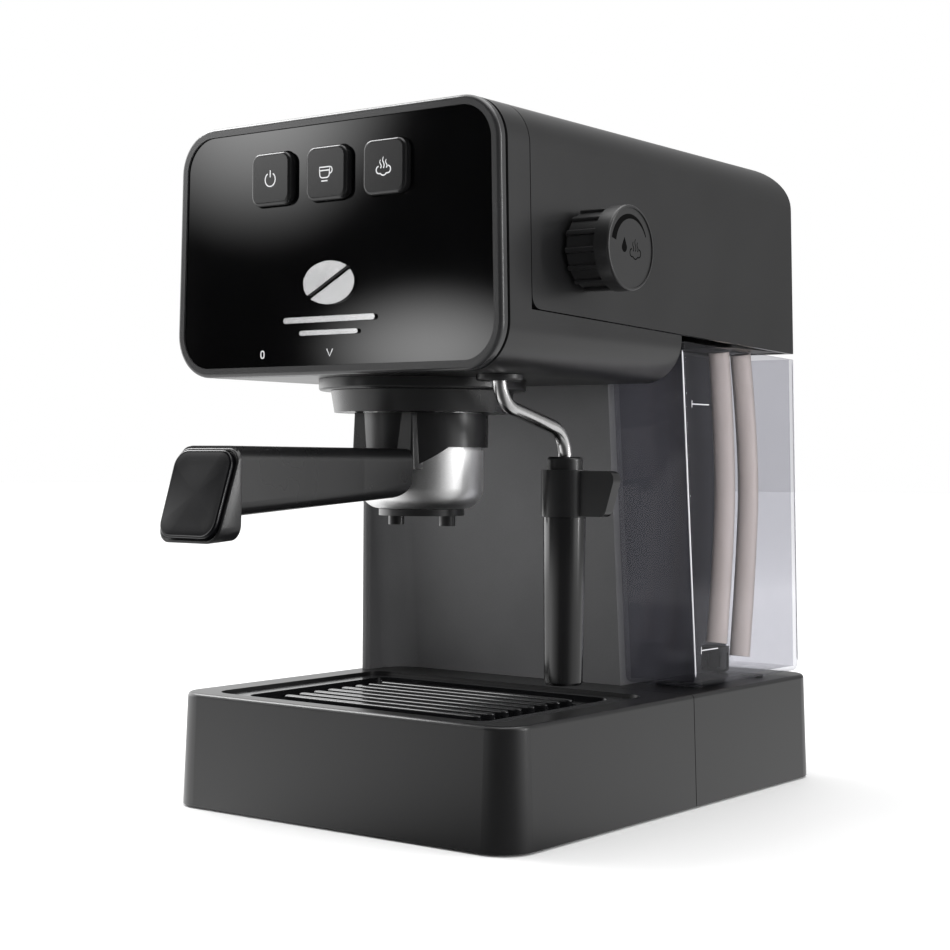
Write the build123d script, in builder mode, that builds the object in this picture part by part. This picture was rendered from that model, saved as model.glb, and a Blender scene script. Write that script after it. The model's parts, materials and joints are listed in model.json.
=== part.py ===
from build123d import *
import math
import os

# Compact pump espresso machine: head, column and base in moulded plastic, a removable
# portafilter, a swinging steam wand, a drip tray and a see-through water tank.
#
# Millimetres, +Z up. Every piece is laid out from the housing's own datum: x from its centreline,
# y rearwards from the face of the head and z up from the worktop. MID_X and MID_Y set that datum
# in the finished frame, whose origin is the centre of the whole footprint on the worktop.

os.makedirs("parts", exist_ok=True)

# ---- driving dimensions -------------------------------------------------------------------
HEIGHT = 297.0  # worktop to the crown of the head
HEAD_CROWN_HALF = 86.3  # half width of the head at its crown
HEAD_FOOT_HALF = 89.2  # half width of the head at its underside
HEAD_FOOT = 189.0  # underside of the head
HEAD_REAR = 240.5  # rear of the top cover
HEAD_CORNER = 19.0  # corner radius of the head's outline
COLLAR_FRONT = 5.5  # front of the collar strip behind the bezel
COLLAR_REAR = 20.0  # rear of the collar strip, where the top cover begins
CHIN_REAR = 134.6  # rear of the lower front housing
PART_FRONT = 213.5  # height of the parting line at the collar
PART_SLOPE = 0.0314  # fall of the parting line for each millimetre rearwards
SEAM_GAP = 0.5  # open gap left along every visible parting line
WALL = 2.6  # wall of the plastic housings

BASE_FRONT = 1.6  # front of the base at the worktop
BASE_REAR = 259.8  # rear of the base at the worktop
BASE_HALF = 93.8  # half width of the base at the worktop
BASE_TOP = 50.5  # top of the base
BASE_CORNER = 15.0  # corner radius of the base
BASE_DRAFT = 2.2  # draft of the base's sides, degrees
SKIRT = 1.0  # clearance of the base's skirt over the worktop
BASE_SEAM = 142.5  # joint between the drip tray's body and the fixed rear base

SPLASH_TOP = 135.0  # face of the column under the head
SPLASH_FOOT = 149.6  # face of the column at the base
COLUMN_LEFT = -88.2
COLUMN_RIGHT = 48.6
COLUMN_TOP = 205.0
WING_FRONT = 125.5  # front edge of the side wing left of the drip tray

TANK_LEFT = 50.2
TANK_RIGHT = 88.2
TANK_FOOT = 52.2
TANK_TOP_FRONT = 207.6
TANK_TOP_REAR = 204.4

GROUP_Y = 62.5  # axis of the brew group
KNOB_Y = 56.5
KNOB_Z = 239.7
KNOB_FACE = 111.5  # outer face of the steam knob
WAND_X = 62.0
WAND_PIVOT_Y = 35.0
WAND_TUBE_Y = 83.0
HANDLE_TIP = -82.2  # foremost point of the handle's end cap
BUTTON_Z = 272.0
BUTTON_PITCH = 31.0
BUTTON_TRAVEL = 2.0

# The datum of the housing in the finished frame.
MID_X = (BASE_HALF - KNOB_FACE) / 2
MID_Y = -(HANDLE_TIP + BASE_REAR) / 2


# ---- placing ------------------------------------------------------------------------------
def level(z):
    """Horizontal plane at height z, seen from above: x to the right, y to the rear."""
    return Plane(origin=(MID_X, MID_Y, z))


def front(y):
    """Upright plane at y, seen from the front: x to the right, y up, normal forwards."""
    return Plane(origin=(MID_X, MID_Y + y, 0), x_dir=(1, 0, 0), z_dir=(0, -1, 0))


def side(x):
    """Upright plane at x, seen from the right: x to the rear, y up, normal to the right."""
    return Plane(origin=(MID_X + x, MID_Y, 0), x_dir=(0, 1, 0), z_dir=(1, 0, 0))


def turning(x, y):
    """Upright plane for turned pieces, whose own y axis is the upright axis at x and y."""
    return Plane(origin=(MID_X + x, MID_Y + y, 0), x_dir=(1, 0, 0), z_dir=(0, -1, 0))


def upright(x, y):
    """The upright axis at x and y."""
    return Axis((MID_X + x, MID_Y + y, 0), (0, 0, 1))


def at(x, y, z):
    """A point of the housing, in the finished frame."""
    return (MID_X + x, MID_Y + y, z)


# ---- shared profiles ----------------------------------------------------------------------
def head_outline(inset=0.0, radius=HEAD_CORNER):
    """Front outline of the head, drawn in by inset: a little wider at its foot."""
    crown, foot = HEIGHT - inset, HEAD_FOOT + inset
    slope = (HEAD_FOOT_HALF - HEAD_CROWN_HALF) / (HEIGHT - HEAD_FOOT)
    wide = HEAD_FOOT_HALF - inset - slope * inset
    narrow = HEAD_CROWN_HALF - inset + slope * inset
    with BuildSketch() as outline:
        Polygon((-wide, foot), (wide, foot), (narrow, crown), (-narrow, crown), align=None)
        fillet(outline.vertices(), radius=max(radius - inset, 2.0))
    return outline.sketch


def base_outline(inset=0.0):
    """Footprint of the base at the worktop, drawn in by inset."""
    with BuildSketch() as outline:
        with Locations((0, (BASE_FRONT + BASE_REAR) / 2)):
            RectangleRounded(
                2 * (BASE_HALF - inset),
                BASE_REAR - BASE_FRONT - 2 * inset,
                BASE_CORNER - inset / 2,
            )
    return outline.sketch


def plan(x_from, x_to, y_from, y_to, radius):
    """Rounded rectangle between two x and two y values."""
    with BuildSketch() as outline:
        with Locations(((x_from + x_to) / 2, (y_from + y_to) / 2)):
            RectangleRounded(x_to - x_from, y_to - y_from, radius)
    return outline.sketch


def profile(*points):
    """Closed outline through the given points."""
    with BuildSketch() as outline:
        Polygon(*points, align=None)
    return outline.sketch


def parting(y):
    """Height of the head's parting line at y."""
    return PART_FRONT - PART_SLOPE * (y - COLLAR_REAR)


# ---- base ---------------------------------------------------------------------------------
PLATE_FOOT = 2.2
PLATE_TOP = 4.8
FOOT_X = 62.0
FOOT_FRONT = 34.0
FOOT_REAR = 232.0
FOOT_SPOTS = [(x, y) for x in (-FOOT_X, FOOT_X) for y in (FOOT_FRONT, FOOT_REAR)]
FOOT_PEG = 2.4
BASE_SCREWS = [(-76, 160), (-76, 240), (76, 240), (76, 160)]
SCREW_HEAD = 1.6

with BuildPart() as base_plate:
    with BuildSketch(level(PLATE_FOOT)):
        add(plan(-83, 83, 14, 249, 11))
        with Locations(*FOOT_SPOTS):
            Circle(FOOT_PEG + 0.1, mode=Mode.SUBTRACT)
        with Locations(*BASE_SCREWS):
            Circle(1.6, mode=Mode.SUBTRACT)
        with Locations((-44, 200), (-22, 200), (0, 200), (22, 200)):
            SlotOverall(34, 5, rotation=90, mode=Mode.SUBTRACT)
    extrude(amount=PLATE_TOP - PLATE_FOOT)
    with BuildSketch(level(PLATE_TOP)):
        with Locations((0, 152.5)):
            Rectangle(150, 2)
        with Locations((0, 244)):
            Rectangle(130, 2)
    extrude(amount=6)
base_plate.part.label = "base_plate"
export_step(base_plate.part, "parts/base_plate.step")

with BuildPart() as feet:
    with BuildSketch(level(0)):
        with Locations(*FOOT_SPOTS):
            Circle(8)
    extrude(amount=PLATE_FOOT - 0.05)
    fillet(feet.edges().group_by(Axis.Z)[0], radius=0.8)
    with BuildSketch(level(PLATE_FOOT - 0.05)):
        with Locations(*FOOT_SPOTS):
            Circle(FOOT_PEG)
    extrude(amount=PLATE_TOP - PLATE_FOOT + 0.15)
    with BuildSketch(level(PLATE_TOP + 0.1)):
        with Locations(*FOOT_SPOTS):
            Circle(4)
    extrude(amount=1)
feet.part.label = "feet"
export_step(feet.part, "parts/feet.step")

with BuildPart() as base_screws:
    with BuildSketch(level(PLATE_FOOT - 0.1)):
        with Locations(*BASE_SCREWS):
            Circle(3)
    extrude(amount=0.1 - SCREW_HEAD)
    fillet(base_screws.edges().group_by(Axis.Z)[0], radius=0.6)
    with BuildSketch(level(PLATE_FOOT - 0.1)):
        with Locations(*BASE_SCREWS):
            Circle(1.4)
    extrude(amount=18)
    with BuildSketch(level(0)):
        with Locations(*BASE_SCREWS):
            Rectangle(3.4, 0.8)
            Rectangle(0.8, 3.4)
    extrude(amount=1.4, mode=Mode.SUBTRACT)
DECK = 2.6  # thickness of the rear base's deck
TANK_SEAT = 0.9  # height of the rubber pads that carry the tank

with BuildPart() as rear_base:
    with BuildSketch(level(SKIRT)):
        add(base_outline())
    extrude(amount=BASE_TOP - SKIRT, taper=BASE_DRAFT)
    fillet(rear_base.edges().group_by(Axis.Z)[-1], radius=1.8)
    with BuildSketch(level(SKIRT)):
        add(base_outline(WALL))
    extrude(amount=BASE_TOP - SKIRT - DECK, taper=BASE_DRAFT, mode=Mode.SUBTRACT)
    with BuildSketch(level(SKIRT)):
        add(plan(-120, 120, -60, BASE_SEAM, 2))
    extrude(amount=BASE_TOP, mode=Mode.SUBTRACT)
    with BuildSketch(level(BASE_TOP)):
        add(plan(-70, 34, 172, 222, 5))
    extrude(amount=-DECK - 1, mode=Mode.SUBTRACT)
    with BuildSketch(level(PLATE_TOP + 0.1)):
        with Locations(*BASE_SCREWS):
            Circle(4)
    extrude(amount=BASE_TOP - DECK - PLATE_TOP)
    with BuildSketch(level(PLATE_TOP)):
        with Locations(*BASE_SCREWS):
            Circle(1.5)
    extrude(amount=20, mode=Mode.SUBTRACT)
rear_base.part.label = "rear_base"
export_step(rear_base.part, "parts/rear_base.step")

with BuildPart() as tank_pads:
    with BuildSketch(level(BASE_TOP + 0.1)):
        with Locations((69, 168), (69, 226)):
            SlotOverall(24, 7)
    extrude(amount=TANK_SEAT)
tank_pads.part.label = "tank_pads"
export_step(tank_pads.part, "parts/tank_pads.step")

# ---- drip tray and grid -------------------------------------------------------------------
TRAY_HALF = 77.6  # half width of the tray's opening
TRAY_FRONT = 12.3
TRAY_REAR = 126.2
TRAY_CORNER = 9.0
GRID_TOP = 49.1
GRID_FOOT = 43.6
TUB_FLOOR = 9.4
TUB_WALL = 2.2

with BuildPart() as drip_tray:
    with BuildSketch(level(SKIRT)):
        add(base_outline())
    extrude(amount=BASE_TOP - SKIRT, taper=BASE_DRAFT)
    fillet(drip_tray.edges().group_by(Axis.Z)[-1], radius=1.8)
    with BuildSketch(level(SKIRT)):
        add(plan(-120, 120, BASE_SEAM - SEAM_GAP, 300, 2))
    extrude(amount=BASE_TOP, mode=Mode.SUBTRACT)
    with BuildSketch(level(BASE_TOP)):
        add(plan(-TRAY_HALF, TRAY_HALF, TRAY_FRONT, TRAY_REAR, TRAY_CORNER))
    extrude(amount=-(BASE_TOP - GRID_FOOT), mode=Mode.SUBTRACT)
    with BuildSketch(level(GRID_FOOT)):
        add(plan(-TRAY_HALF + 4.5, TRAY_HALF - 4.5, TRAY_FRONT + 4.5, TRAY_REAR - 4.5, 6))
    extrude(amount=-(GRID_FOOT - TUB_FLOOR), taper=1.5, mode=Mode.SUBTRACT)
    with BuildSketch(level(SKIRT)):
        add(plan(-BASE_HALF + WALL + 1.0, BASE_HALF - WALL - 1.0, BASE_FRONT + WALL + 1.2, 300, 11))
    extrude(amount=TUB_FLOOR - TUB_WALL - SKIRT, mode=Mode.SUBTRACT)
    with BuildSketch(level(TUB_FLOOR - TUB_WALL)):
        add(plan(-BASE_HALF + WALL + 1.4, BASE_HALF - WALL - 1.4, TRAY_REAR - 2.0, BASE_SEAM - 3.0, 2))
    extrude(amount=BASE_TOP - TUB_FLOOR + TUB_WALL - WALL, taper=1.0, mode=Mode.SUBTRACT)
    with BuildSketch(level(TUB_FLOOR - TUB_WALL)):
        for hand in (-1, 1):
            with Locations((hand * 80.8, (TRAY_FRONT + TRAY_REAR) / 2)):
                Rectangle(9.4, TRAY_REAR - TRAY_FRONT - 14)
    extrude(amount=GRID_FOOT - 3 - TUB_FLOOR + TUB_WALL, taper=1.0, mode=Mode.SUBTRACT)
drip_tray.part.label = "drip_tray"
export_step(drip_tray.part, "parts/drip_tray.step")

RIB_COUNT = 8
RIB_PITCH = 9.6
RIB_FIRST = 34.4
RIB_LENGTH = 108.0
RIB_WIDTH = 4.0
RIB_ROUND = 0.7  # rounding along the top of each rib
DISH = 46.2  # level of the sunken panel round the ribs

with BuildPart() as drip_grid:
    with BuildSketch(level(GRID_FOOT + 0.4)):
        add(plan(-TRAY_HALF + 0.6, TRAY_HALF - 0.6, TRAY_FRONT + 0.6, TRAY_REAR - 0.6, TRAY_CORNER - 0.6))
    extrude(amount=GRID_TOP - GRID_FOOT - 0.4)
    fillet(drip_grid.edges().group_by(Axis.Z)[-1], radius=0.7)
    with BuildSketch(level(GRID_TOP)):
        add(plan(-66, 66, 20, 116.6, 7))
    extrude(amount=DISH - GRID_TOP, mode=Mode.SUBTRACT)
    with BuildSketch(level(DISH)):
        for i in range(RIB_COUNT + 1):
            with Locations((0, RIB_FIRST + (i - 0.5) * RIB_PITCH)):
                SlotOverall(RIB_LENGTH - 2, 4.4)
    extrude(amount=GRID_FOOT - DISH, mode=Mode.SUBTRACT)
    with BuildSketch(level(GRID_FOOT + 1.2)):
        for i in range(RIB_COUNT):
            with Locations((0, RIB_FIRST + i * RIB_PITCH)):
                SlotOverall(RIB_LENGTH, RIB_WIDTH)
    extrude(amount=GRID_TOP - GRID_FOOT - 1.2)
    rib_tops = drip_grid.edges().filter_by(
        lambda e: e.center().Z > GRID_TOP - 0.01 and abs(e.center().X - MID_X) < RIB_LENGTH / 2 + 1
    )
    rib_tops = rib_tops.filter_by(
        lambda e: abs(e.center().Y - MID_Y - RIB_FIRST - (RIB_COUNT - 1) * RIB_PITCH / 2)
        < RIB_COUNT * RIB_PITCH / 2
    )
    fillet(rib_tops, radius=RIB_ROUND)
drip_grid.part.label = "drip_grid"
export_step(drip_grid.part, "parts/drip_grid.step")

# ---- column -------------------------------------------------------------------------------
COLUMN_REAR_TOP = 236.0
COLUMN_REAR_FOOT = 249.0
COLUMN_FOOT = BASE_TOP + 0.1
WING = 4.6  # thickness of the side wing

with BuildPart() as column_shell:
    with BuildSketch(side(COLUMN_LEFT)):
        add(
            profile(
                (SPLASH_FOOT, COLUMN_FOOT),
                (COLUMN_REAR_FOOT, COLUMN_FOOT),
                (COLUMN_REAR_TOP, parting(COLUMN_REAR_TOP) - 0.3),
                (SPLASH_TOP, parting(SPLASH_TOP) - 0.3),
            )
        )
    extrude(amount=COLUMN_RIGHT - COLUMN_LEFT)
    with BuildSketch(side(COLUMN_LEFT)):
        add(
            profile(
                (WING_FRONT, COLUMN_FOOT),
                (SPLASH_FOOT + 4, COLUMN_FOOT),
                (SPLASH_TOP + 5, HEAD_FOOT - 0.3),
                (WING_FRONT, HEAD_FOOT - 0.3),
            )
        )
    extrude(amount=WING)
    hollow = 2.6
    corner = column_shell.edges().filter_by(
        lambda e: abs(e.center().X - (MID_X + COLUMN_LEFT + WING)) < 0.2
        and e.center().Y - MID_Y > 136
        and 100 < e.center().Z < 150
    )
    fillet(corner, radius=13)
    with BuildSketch(side(COLUMN_LEFT + WALL)):
        add(
            profile(
                (SPLASH_FOOT + hollow, COLUMN_FOOT - 1),
                (COLUMN_REAR_FOOT + 8, COLUMN_FOOT - 1),
                (COLUMN_REAR_TOP + 8, HEIGHT),
                (SPLASH_TOP + hollow, HEIGHT),
            )
        )
    extrude(amount=COLUMN_RIGHT - COLUMN_LEFT - 2 * WALL, mode=Mode.SUBTRACT)
    nose = column_shell.edges().filter_by(
        lambda e: abs(e.center().Y - (MID_Y + WING_FRONT)) < 0.1 and e.length > 100
    )
    fillet(nose, radius=2.0)
column_shell.part.label = "column_shell"
export_step(column_shell.part, "parts/column_shell.step")

COVER_Y = 228.0  # rear cover of the column
COVER_THICK = 2.4
INLET_X = -62.0
INLET_Z = 66.0
COVER_SCREWS = [(-80, 60), (40, 60), (-80, 196), (40, 196)]

with BuildPart() as rear_cover:
    with BuildSketch(front(COVER_Y + COVER_THICK)):
        add(plan(COLUMN_LEFT + WALL + 0.4, COLUMN_RIGHT - WALL - 0.4, BASE_TOP + 0.6, COLUMN_TOP - 0.4, 2))
        with Locations(*COVER_SCREWS):
            Circle(1.7, mode=Mode.SUBTRACT)
        with Locations((INLET_X, INLET_Z)):
            Circle(6.6, mode=Mode.SUBTRACT)
        for row in range(9):
            with Locations((-20, 110 + row * 7)):
                SlotOverall(64, 3, mode=Mode.SUBTRACT)
    extrude(amount=COVER_THICK)
rear_cover.part.label = "rear_cover"
export_step(rear_cover.part, "parts/rear_cover.step")

with BuildPart() as power_inlet:
    with BuildSketch(front(COVER_Y + COVER_THICK + 3)):
        with Locations((INLET_X, INLET_Z)):
            Circle(8.6)
    extrude(amount=2.9)
    with BuildSketch(front(COVER_Y + COVER_THICK + 0.1)):
        with Locations((INLET_X, INLET_Z)):
            Circle(6.5)
    extrude(amount=COVER_THICK + 5)
    with BuildSketch(front(COVER_Y + COVER_THICK + 4)):
        with Locations((INLET_X, INLET_Z)):
            Circle(3.6)
    extrude(amount=14, mode=Mode.SUBTRACT)
power_inlet.part.label = "power_inlet"
export_step(power_inlet.part, "parts/power_inlet.step")

with BuildPart() as housing_screws:
    with BuildSketch(front(COVER_Y + COVER_THICK + SCREW_HEAD)):
        with Locations(*COVER_SCREWS):
            Circle(3)
    extrude(amount=SCREW_HEAD - 0.1)
    fillet(housing_screws.edges().group_by(Axis.Y)[-1], radius=0.6)
    with BuildSketch(front(COVER_Y + COVER_THICK + 0.1)):
        with Locations(*COVER_SCREWS):
            Circle(1.4)
    extrude(amount=9)
    with BuildSketch(front(COVER_Y + COVER_THICK + SCREW_HEAD)):
        with Locations(*COVER_SCREWS):
            Rectangle(3.4, 0.8)
            Rectangle(0.8, 3.4)
    extrude(amount=1.0, mode=Mode.SUBTRACT)
    add(base_screws.part)
housing_screws.part.label = "housing_screws"
export_step(housing_screws.part, "parts/housing_screws.step")

# ---- head ---------------------------------------------------------------------------------
GROUP_HOLE = 41.2
WAND_HOLE = 8.4
SPINDLE_HOLE = 5.0
CROWN_EDGE = 21.0  # rounding of the head's top rear edge

with BuildPart() as front_housing:
    with BuildSketch(front(CHIN_REAR)):
        add(head_outline())
    extrude(amount=CHIN_REAR - COLLAR_FRONT)
    with BuildSketch(side(-120)):
        with BuildLine():
            FilletPolyline(
                (COLLAR_FRONT, HEAD_FOOT - 5),
                (COLLAR_FRONT, HEIGHT + 5),
                (COLLAR_REAR, HEIGHT + 5),
                (COLLAR_REAR, parting(COLLAR_REAR)),
                (CHIN_REAR, parting(CHIN_REAR)),
                (CHIN_REAR, HEAD_FOOT - 5),
                radius=[0, 0, 6, 0, 0, 0],
                close=True,
            )
        make_face()
    extrude(amount=240, mode=Mode.INTERSECT)
    with BuildSketch(front(CHIN_REAR + 1)):
        add(head_outline(WALL))
    extrude(amount=CHIN_REAR + 2 - COLLAR_FRONT, mode=Mode.SUBTRACT)
    with BuildSketch(level(HEAD_FOOT - 1)):
        with Locations((0, GROUP_Y)):
            Circle(GROUP_HOLE)
        with Locations((WAND_X, WAND_PIVOT_Y)):
            Circle(WAND_HOLE)
    extrude(amount=WALL + 3, mode=Mode.SUBTRACT)
front_housing.part.label = "front_housing"
export_step(front_housing.part, "parts/front_housing.step")


def cover_profile(inset=0.0):
    """Side outline of the top cover, drawn in by inset, its top rear edge rounded."""
    rear = HEAD_REAR - inset
    crown = HEIGHT - inset + 0.01
    with BuildSketch() as outline:
        with BuildLine():
            FilletPolyline(
                (COLLAR_REAR + SEAM_GAP, parting(COLLAR_REAR) + SEAM_GAP - 9 * inset),
                (COLLAR_REAR + SEAM_GAP, crown),
                (rear, crown),
                (rear, parting(rear) + SEAM_GAP - 9 * inset),
                radius=[5.5, 0, CROWN_EDGE - inset, 0],
                close=True,
            )
        make_face()
    return outline.sketch


with BuildPart() as cover_cavity:
    with BuildSketch(front(HEAD_REAR)):
        add(head_outline(WALL))
    extrude(amount=HEAD_REAR - COLLAR_REAR + 10)
    with BuildSketch(side(-120)):
        add(cover_profile(WALL))
        with Locations((COLLAR_REAR, (HEIGHT + HEAD_FOOT) / 2 - 20)):
            Rectangle(2, HEIGHT - HEAD_FOOT + 30)
    extrude(amount=240, mode=Mode.INTERSECT)

with BuildPart() as top_cover:
    with BuildSketch(front(HEAD_REAR)):
        add(head_outline())
    extrude(amount=HEAD_REAR - COLLAR_REAR - SEAM_GAP)
    with BuildSketch(side(-120)):
        add(cover_profile())
    extrude(amount=240, mode=Mode.INTERSECT)
    add(cover_cavity.part, mode=Mode.SUBTRACT)
    with BuildSketch(side(HEAD_FOOT_HALF + 5)):
        with Locations((KNOB_Y, KNOB_Z)):
            Circle(SPINDLE_HOLE)
    extrude(amount=-20, mode=Mode.SUBTRACT)
    with BuildSketch(level(HEIGHT)):
        add(plan(-64, 64, 44, 206, 14))
    extrude(amount=-1.2, mode=Mode.SUBTRACT)
    with BuildSketch(level(HEIGHT - 1.2)):
        for i in range(9):
            with Locations((0, 61 + i * 16)):
                SlotOverall(104, 3)
    extrude(amount=0.9)
top_cover.part.label = "top_cover"
export_step(top_cover.part, "parts/top_cover.step")

BEZEL_LIP = 3.9  # visible width of the bezel round the panel
BEZEL_DEPTH = 3.8
PANEL_FACE = 0.8
PANEL_BACK = 3.6
BUTTON_HOLE = 23.4
BUTTON_SPOTS = [(-BUTTON_PITCH, BUTTON_Z), (0, BUTTON_Z), (BUTTON_PITCH, BUTTON_Z)]

with BuildPart() as bezel_frame:
    with BuildSketch(front(BEZEL_DEPTH)):
        add(head_outline())
    extrude(amount=BEZEL_DEPTH)
    fillet(bezel_frame.edges().group_by(Axis.Y)[0], radius=1.6)
    with BuildSketch(front(COLLAR_FRONT + 4)):
        add(head_outline(WALL + 0.5))
    extrude(amount=COLLAR_FRONT + 4 - BEZEL_DEPTH)
    with BuildSketch(front(BEZEL_DEPTH)):
        add(head_outline(BEZEL_LIP))
    extrude(amount=BEZEL_DEPTH + 1, mode=Mode.SUBTRACT)
    with BuildSketch(front(COLLAR_FRONT + 5)):
        add(head_outline(BEZEL_LIP + 1.8))
    extrude(amount=COLLAR_FRONT + 6, mode=Mode.SUBTRACT)
bezel_frame.part.label = "bezel_frame"
export_step(bezel_frame.part, "parts/bezel_frame.step")

with BuildPart() as front_panel:
    with BuildSketch(front(PANEL_BACK)):
        add(head_outline(BEZEL_LIP + 0.15))
        with Locations(*BUTTON_SPOTS):
            RectangleRounded(BUTTON_HOLE, BUTTON_HOLE, 5, mode=Mode.SUBTRACT)
    extrude(amount=PANEL_BACK - PANEL_FACE)
front_panel.part.label = "front_panel"
export_step(front_panel.part, "parts/front_panel.step")

BADGE_Z = 219.0

with BuildPart() as badge:
    with BuildSketch(front(PANEL_FACE)):
        with Locations((0, BADGE_Z + 8)):
            Ellipse(14, 9)
            SlotOverall(30, 2.2, rotation=28, mode=Mode.SUBTRACT)
        with Locations((0, BADGE_Z - 7)):
            SlotOverall(50, 2.4)
        with Locations((0, BADGE_Z - 12.5)):
            SlotOverall(32, 2.0)
    extrude(amount=1.1)
badge.part.label = "badge"
export_step(badge.part, "parts/badge.step")

# ---- buttons ------------------------------------------------------------------------------
BUTTON = 22.4
BUTTON_FACE = -2.6
FLANGE_FRONT = 4.1


def make_button(name, x):
    """One square push button with its retaining flange and its stem."""
    with BuildPart() as button:
        with BuildSketch(front(FLANGE_FRONT)):
            with Locations((x, BUTTON_Z)):
                RectangleRounded(BUTTON, BUTTON, 4.6)
        extrude(amount=FLANGE_FRONT - BUTTON_FACE)
        fillet(button.edges().group_by(Axis.Y)[0], radius=1.5)
        with BuildSketch(front(FLANGE_FRONT + 1.2)):
            with Locations((x, BUTTON_Z)):
                RectangleRounded(BUTTON + 3.4, BUTTON + 3.4, 5)
        extrude(amount=1.2)
        with BuildSketch(front(BUTTON_FACE + 11.6)):
            with Locations((x, BUTTON_Z)):
                Circle(2.2)
        extrude(amount=6)
    button.part.label = name
    export_step(button.part, f"parts/{name}.step")


make_button("button_power", -BUTTON_PITCH)
make_button("button_coffee", 0)
make_button("button_steam", BUTTON_PITCH)

with BuildPart() as switch_board:
    with BuildSketch(front(17.2)):
        add(plan(-50, 50, 258, 286, 3))
        with Locations((-45, 272), (45, 272)):
            Circle(1.6, mode=Mode.SUBTRACT)
    extrude(amount=1.6)
switch_board.part.label = "switch_board"
export_step(switch_board.part, "parts/switch_board.step")

with BuildPart() as micro_switches:
    with BuildSketch(front(15.5)):
        with Locations(*BUTTON_SPOTS):
            RectangleRounded(9, 9, 1)
    extrude(amount=2.6)
    with BuildSketch(front(12.9)):
        with Locations(*BUTTON_SPOTS):
            Circle(2)
    extrude(amount=1.2)
micro_switches.part.label = "micro_switches"
export_step(micro_switches.part, "parts/micro_switches.step")

# ---- steam knob and valve -----------------------------------------------------------------
KNOB_BACK = 90.6
KNOB_BARREL = 15.7
KNOB_RING = 17.3
KNOB_RIBS = 14
KNOB_AXIS = Axis((MID_X, MID_Y + KNOB_Y, KNOB_Z), (1, 0, 0))

with BuildPart() as steam_knob:
    with BuildSketch(side(KNOB_BACK)):
        with Locations((KNOB_Y, KNOB_Z)):
            Circle(KNOB_BARREL)
    extrude(amount=KNOB_FACE - KNOB_BACK - 7)
    with BuildSketch(side(KNOB_BACK)):
        with Locations((KNOB_Y, KNOB_Z)):
            with PolarLocations(KNOB_BARREL, KNOB_RIBS, start_angle=5):
                RectangleRounded(2.4, 2.2, 0.7)
    extrude(amount=KNOB_FACE - KNOB_BACK - 6.5)
    with BuildSketch(side(KNOB_FACE)):
        with Locations((KNOB_Y, KNOB_Z)):
            Circle(KNOB_RING)
    extrude(amount=-7)
    fillet(steam_knob.edges().group_by(Axis.X)[-1], radius=0.9)
    with BuildSketch(side(KNOB_FACE)):
        with Locations((KNOB_Y, KNOB_Z)):
            Circle(KNOB_RING - 1.2)
    extrude(amount=-0.5, mode=Mode.SUBTRACT)
    with BuildSketch(side(KNOB_BACK)):
        with Locations((KNOB_Y, KNOB_Z)):
            Circle(KNOB_BARREL - 2.4)
            Circle(5.2, mode=Mode.SUBTRACT)
    extrude(amount=13, mode=Mode.SUBTRACT)
    with BuildSketch(side(KNOB_BACK)):
        with Locations((KNOB_Y, KNOB_Z)):
            Circle(3.1)
    extrude(amount=13, mode=Mode.SUBTRACT)
steam_knob.part.label = "steam_knob"
export_step(steam_knob.part, "parts/steam_knob.step")

with BuildPart() as knob_spindle:
    with BuildSketch(side(67)):
        with Locations((KNOB_Y, KNOB_Z)):
            Circle(3)
    extrude(amount=KNOB_BACK + 12 - 67)
    with BuildSketch(side(80)):
        with Locations((KNOB_Y, KNOB_Z)):
            Circle(4.4)
    extrude(amount=1.2)
knob_spindle.part.label = "knob_spindle"
export_step(knob_spindle.part, "parts/knob_spindle.step")

with BuildPart() as steam_valve:
    with BuildSketch(side(44)):
        with Locations((KNOB_Y, KNOB_Z)):
            RectangleRounded(24, 22, 3)
    extrude(amount=22)
    with BuildSketch(side(66)):
        with Locations((KNOB_Y, KNOB_Z)):
            Circle(8)
    extrude(amount=12)
    with BuildSketch(side(66.5)):
        with Locations((KNOB_Y, KNOB_Z)):
            Circle(3.1)
    extrude(amount=12, mode=Mode.SUBTRACT)
    with BuildSketch(side(77)):
        with Locations((KNOB_Y, KNOB_Z)):
            Circle(4.7)
    extrude(amount=1.1, mode=Mode.SUBTRACT)
steam_valve.part.label = "steam_valve"
export_step(steam_valve.part, "parts/steam_valve.step")

# ---- brew group ---------------------------------------------------------------------------
FLANGE_FOOT = 184.0
RING_FOOT = 174.6
RING_OUTER = 40.0
LEDGE_TOP = 177.6
EAR_FOOT = 178.0
EAR_TOP = 180.8
CUP_RIM = 180.9
GASKET_TOP = 184.2
BOILER_FOOT = 194.0
GROUP_BOLT_CIRCLE = 36.0  # radius of the circle the four bolts stand on
GROUP_BOLT = 1.5
BAYONET_TURN = 32.0  # turn of the handle between open and locked, degrees
EAR_REACH = 32.6
EAR_WIDE = 18.5
BASKET_RIM = 181.7  # top of the basket's rim, pressed against the gasket

with BuildPart() as group_flange:
    with BuildSketch(level(FLANGE_FOOT)):
        with Locations((0, GROUP_Y)):
            Circle(45.5)
    extrude(amount=HEAD_FOOT - FLANGE_FOOT - 0.1)
    fillet(group_flange.edges().group_by(Axis.Z)[0], radius=1.2)
    with BuildSketch(level(HEAD_FOOT - 0.1)):
        with Locations((0, GROUP_Y)):
            Circle(GROUP_HOLE - 0.3)
    extrude(amount=BOILER_FOOT - HEAD_FOOT)
    with BuildSketch(level(FLANGE_FOOT)):
        with Locations((0, GROUP_Y)):
            Circle(33.8)
            with PolarLocations(GROUP_BOLT_CIRCLE, 4, start_angle=45):
                Circle(GROUP_BOLT + 0.1)
    extrude(amount=20, mode=Mode.SUBTRACT)
group_flange.part.label = "group_flange"
export_step(group_flange.part, "parts/group_flange.step")

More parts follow.
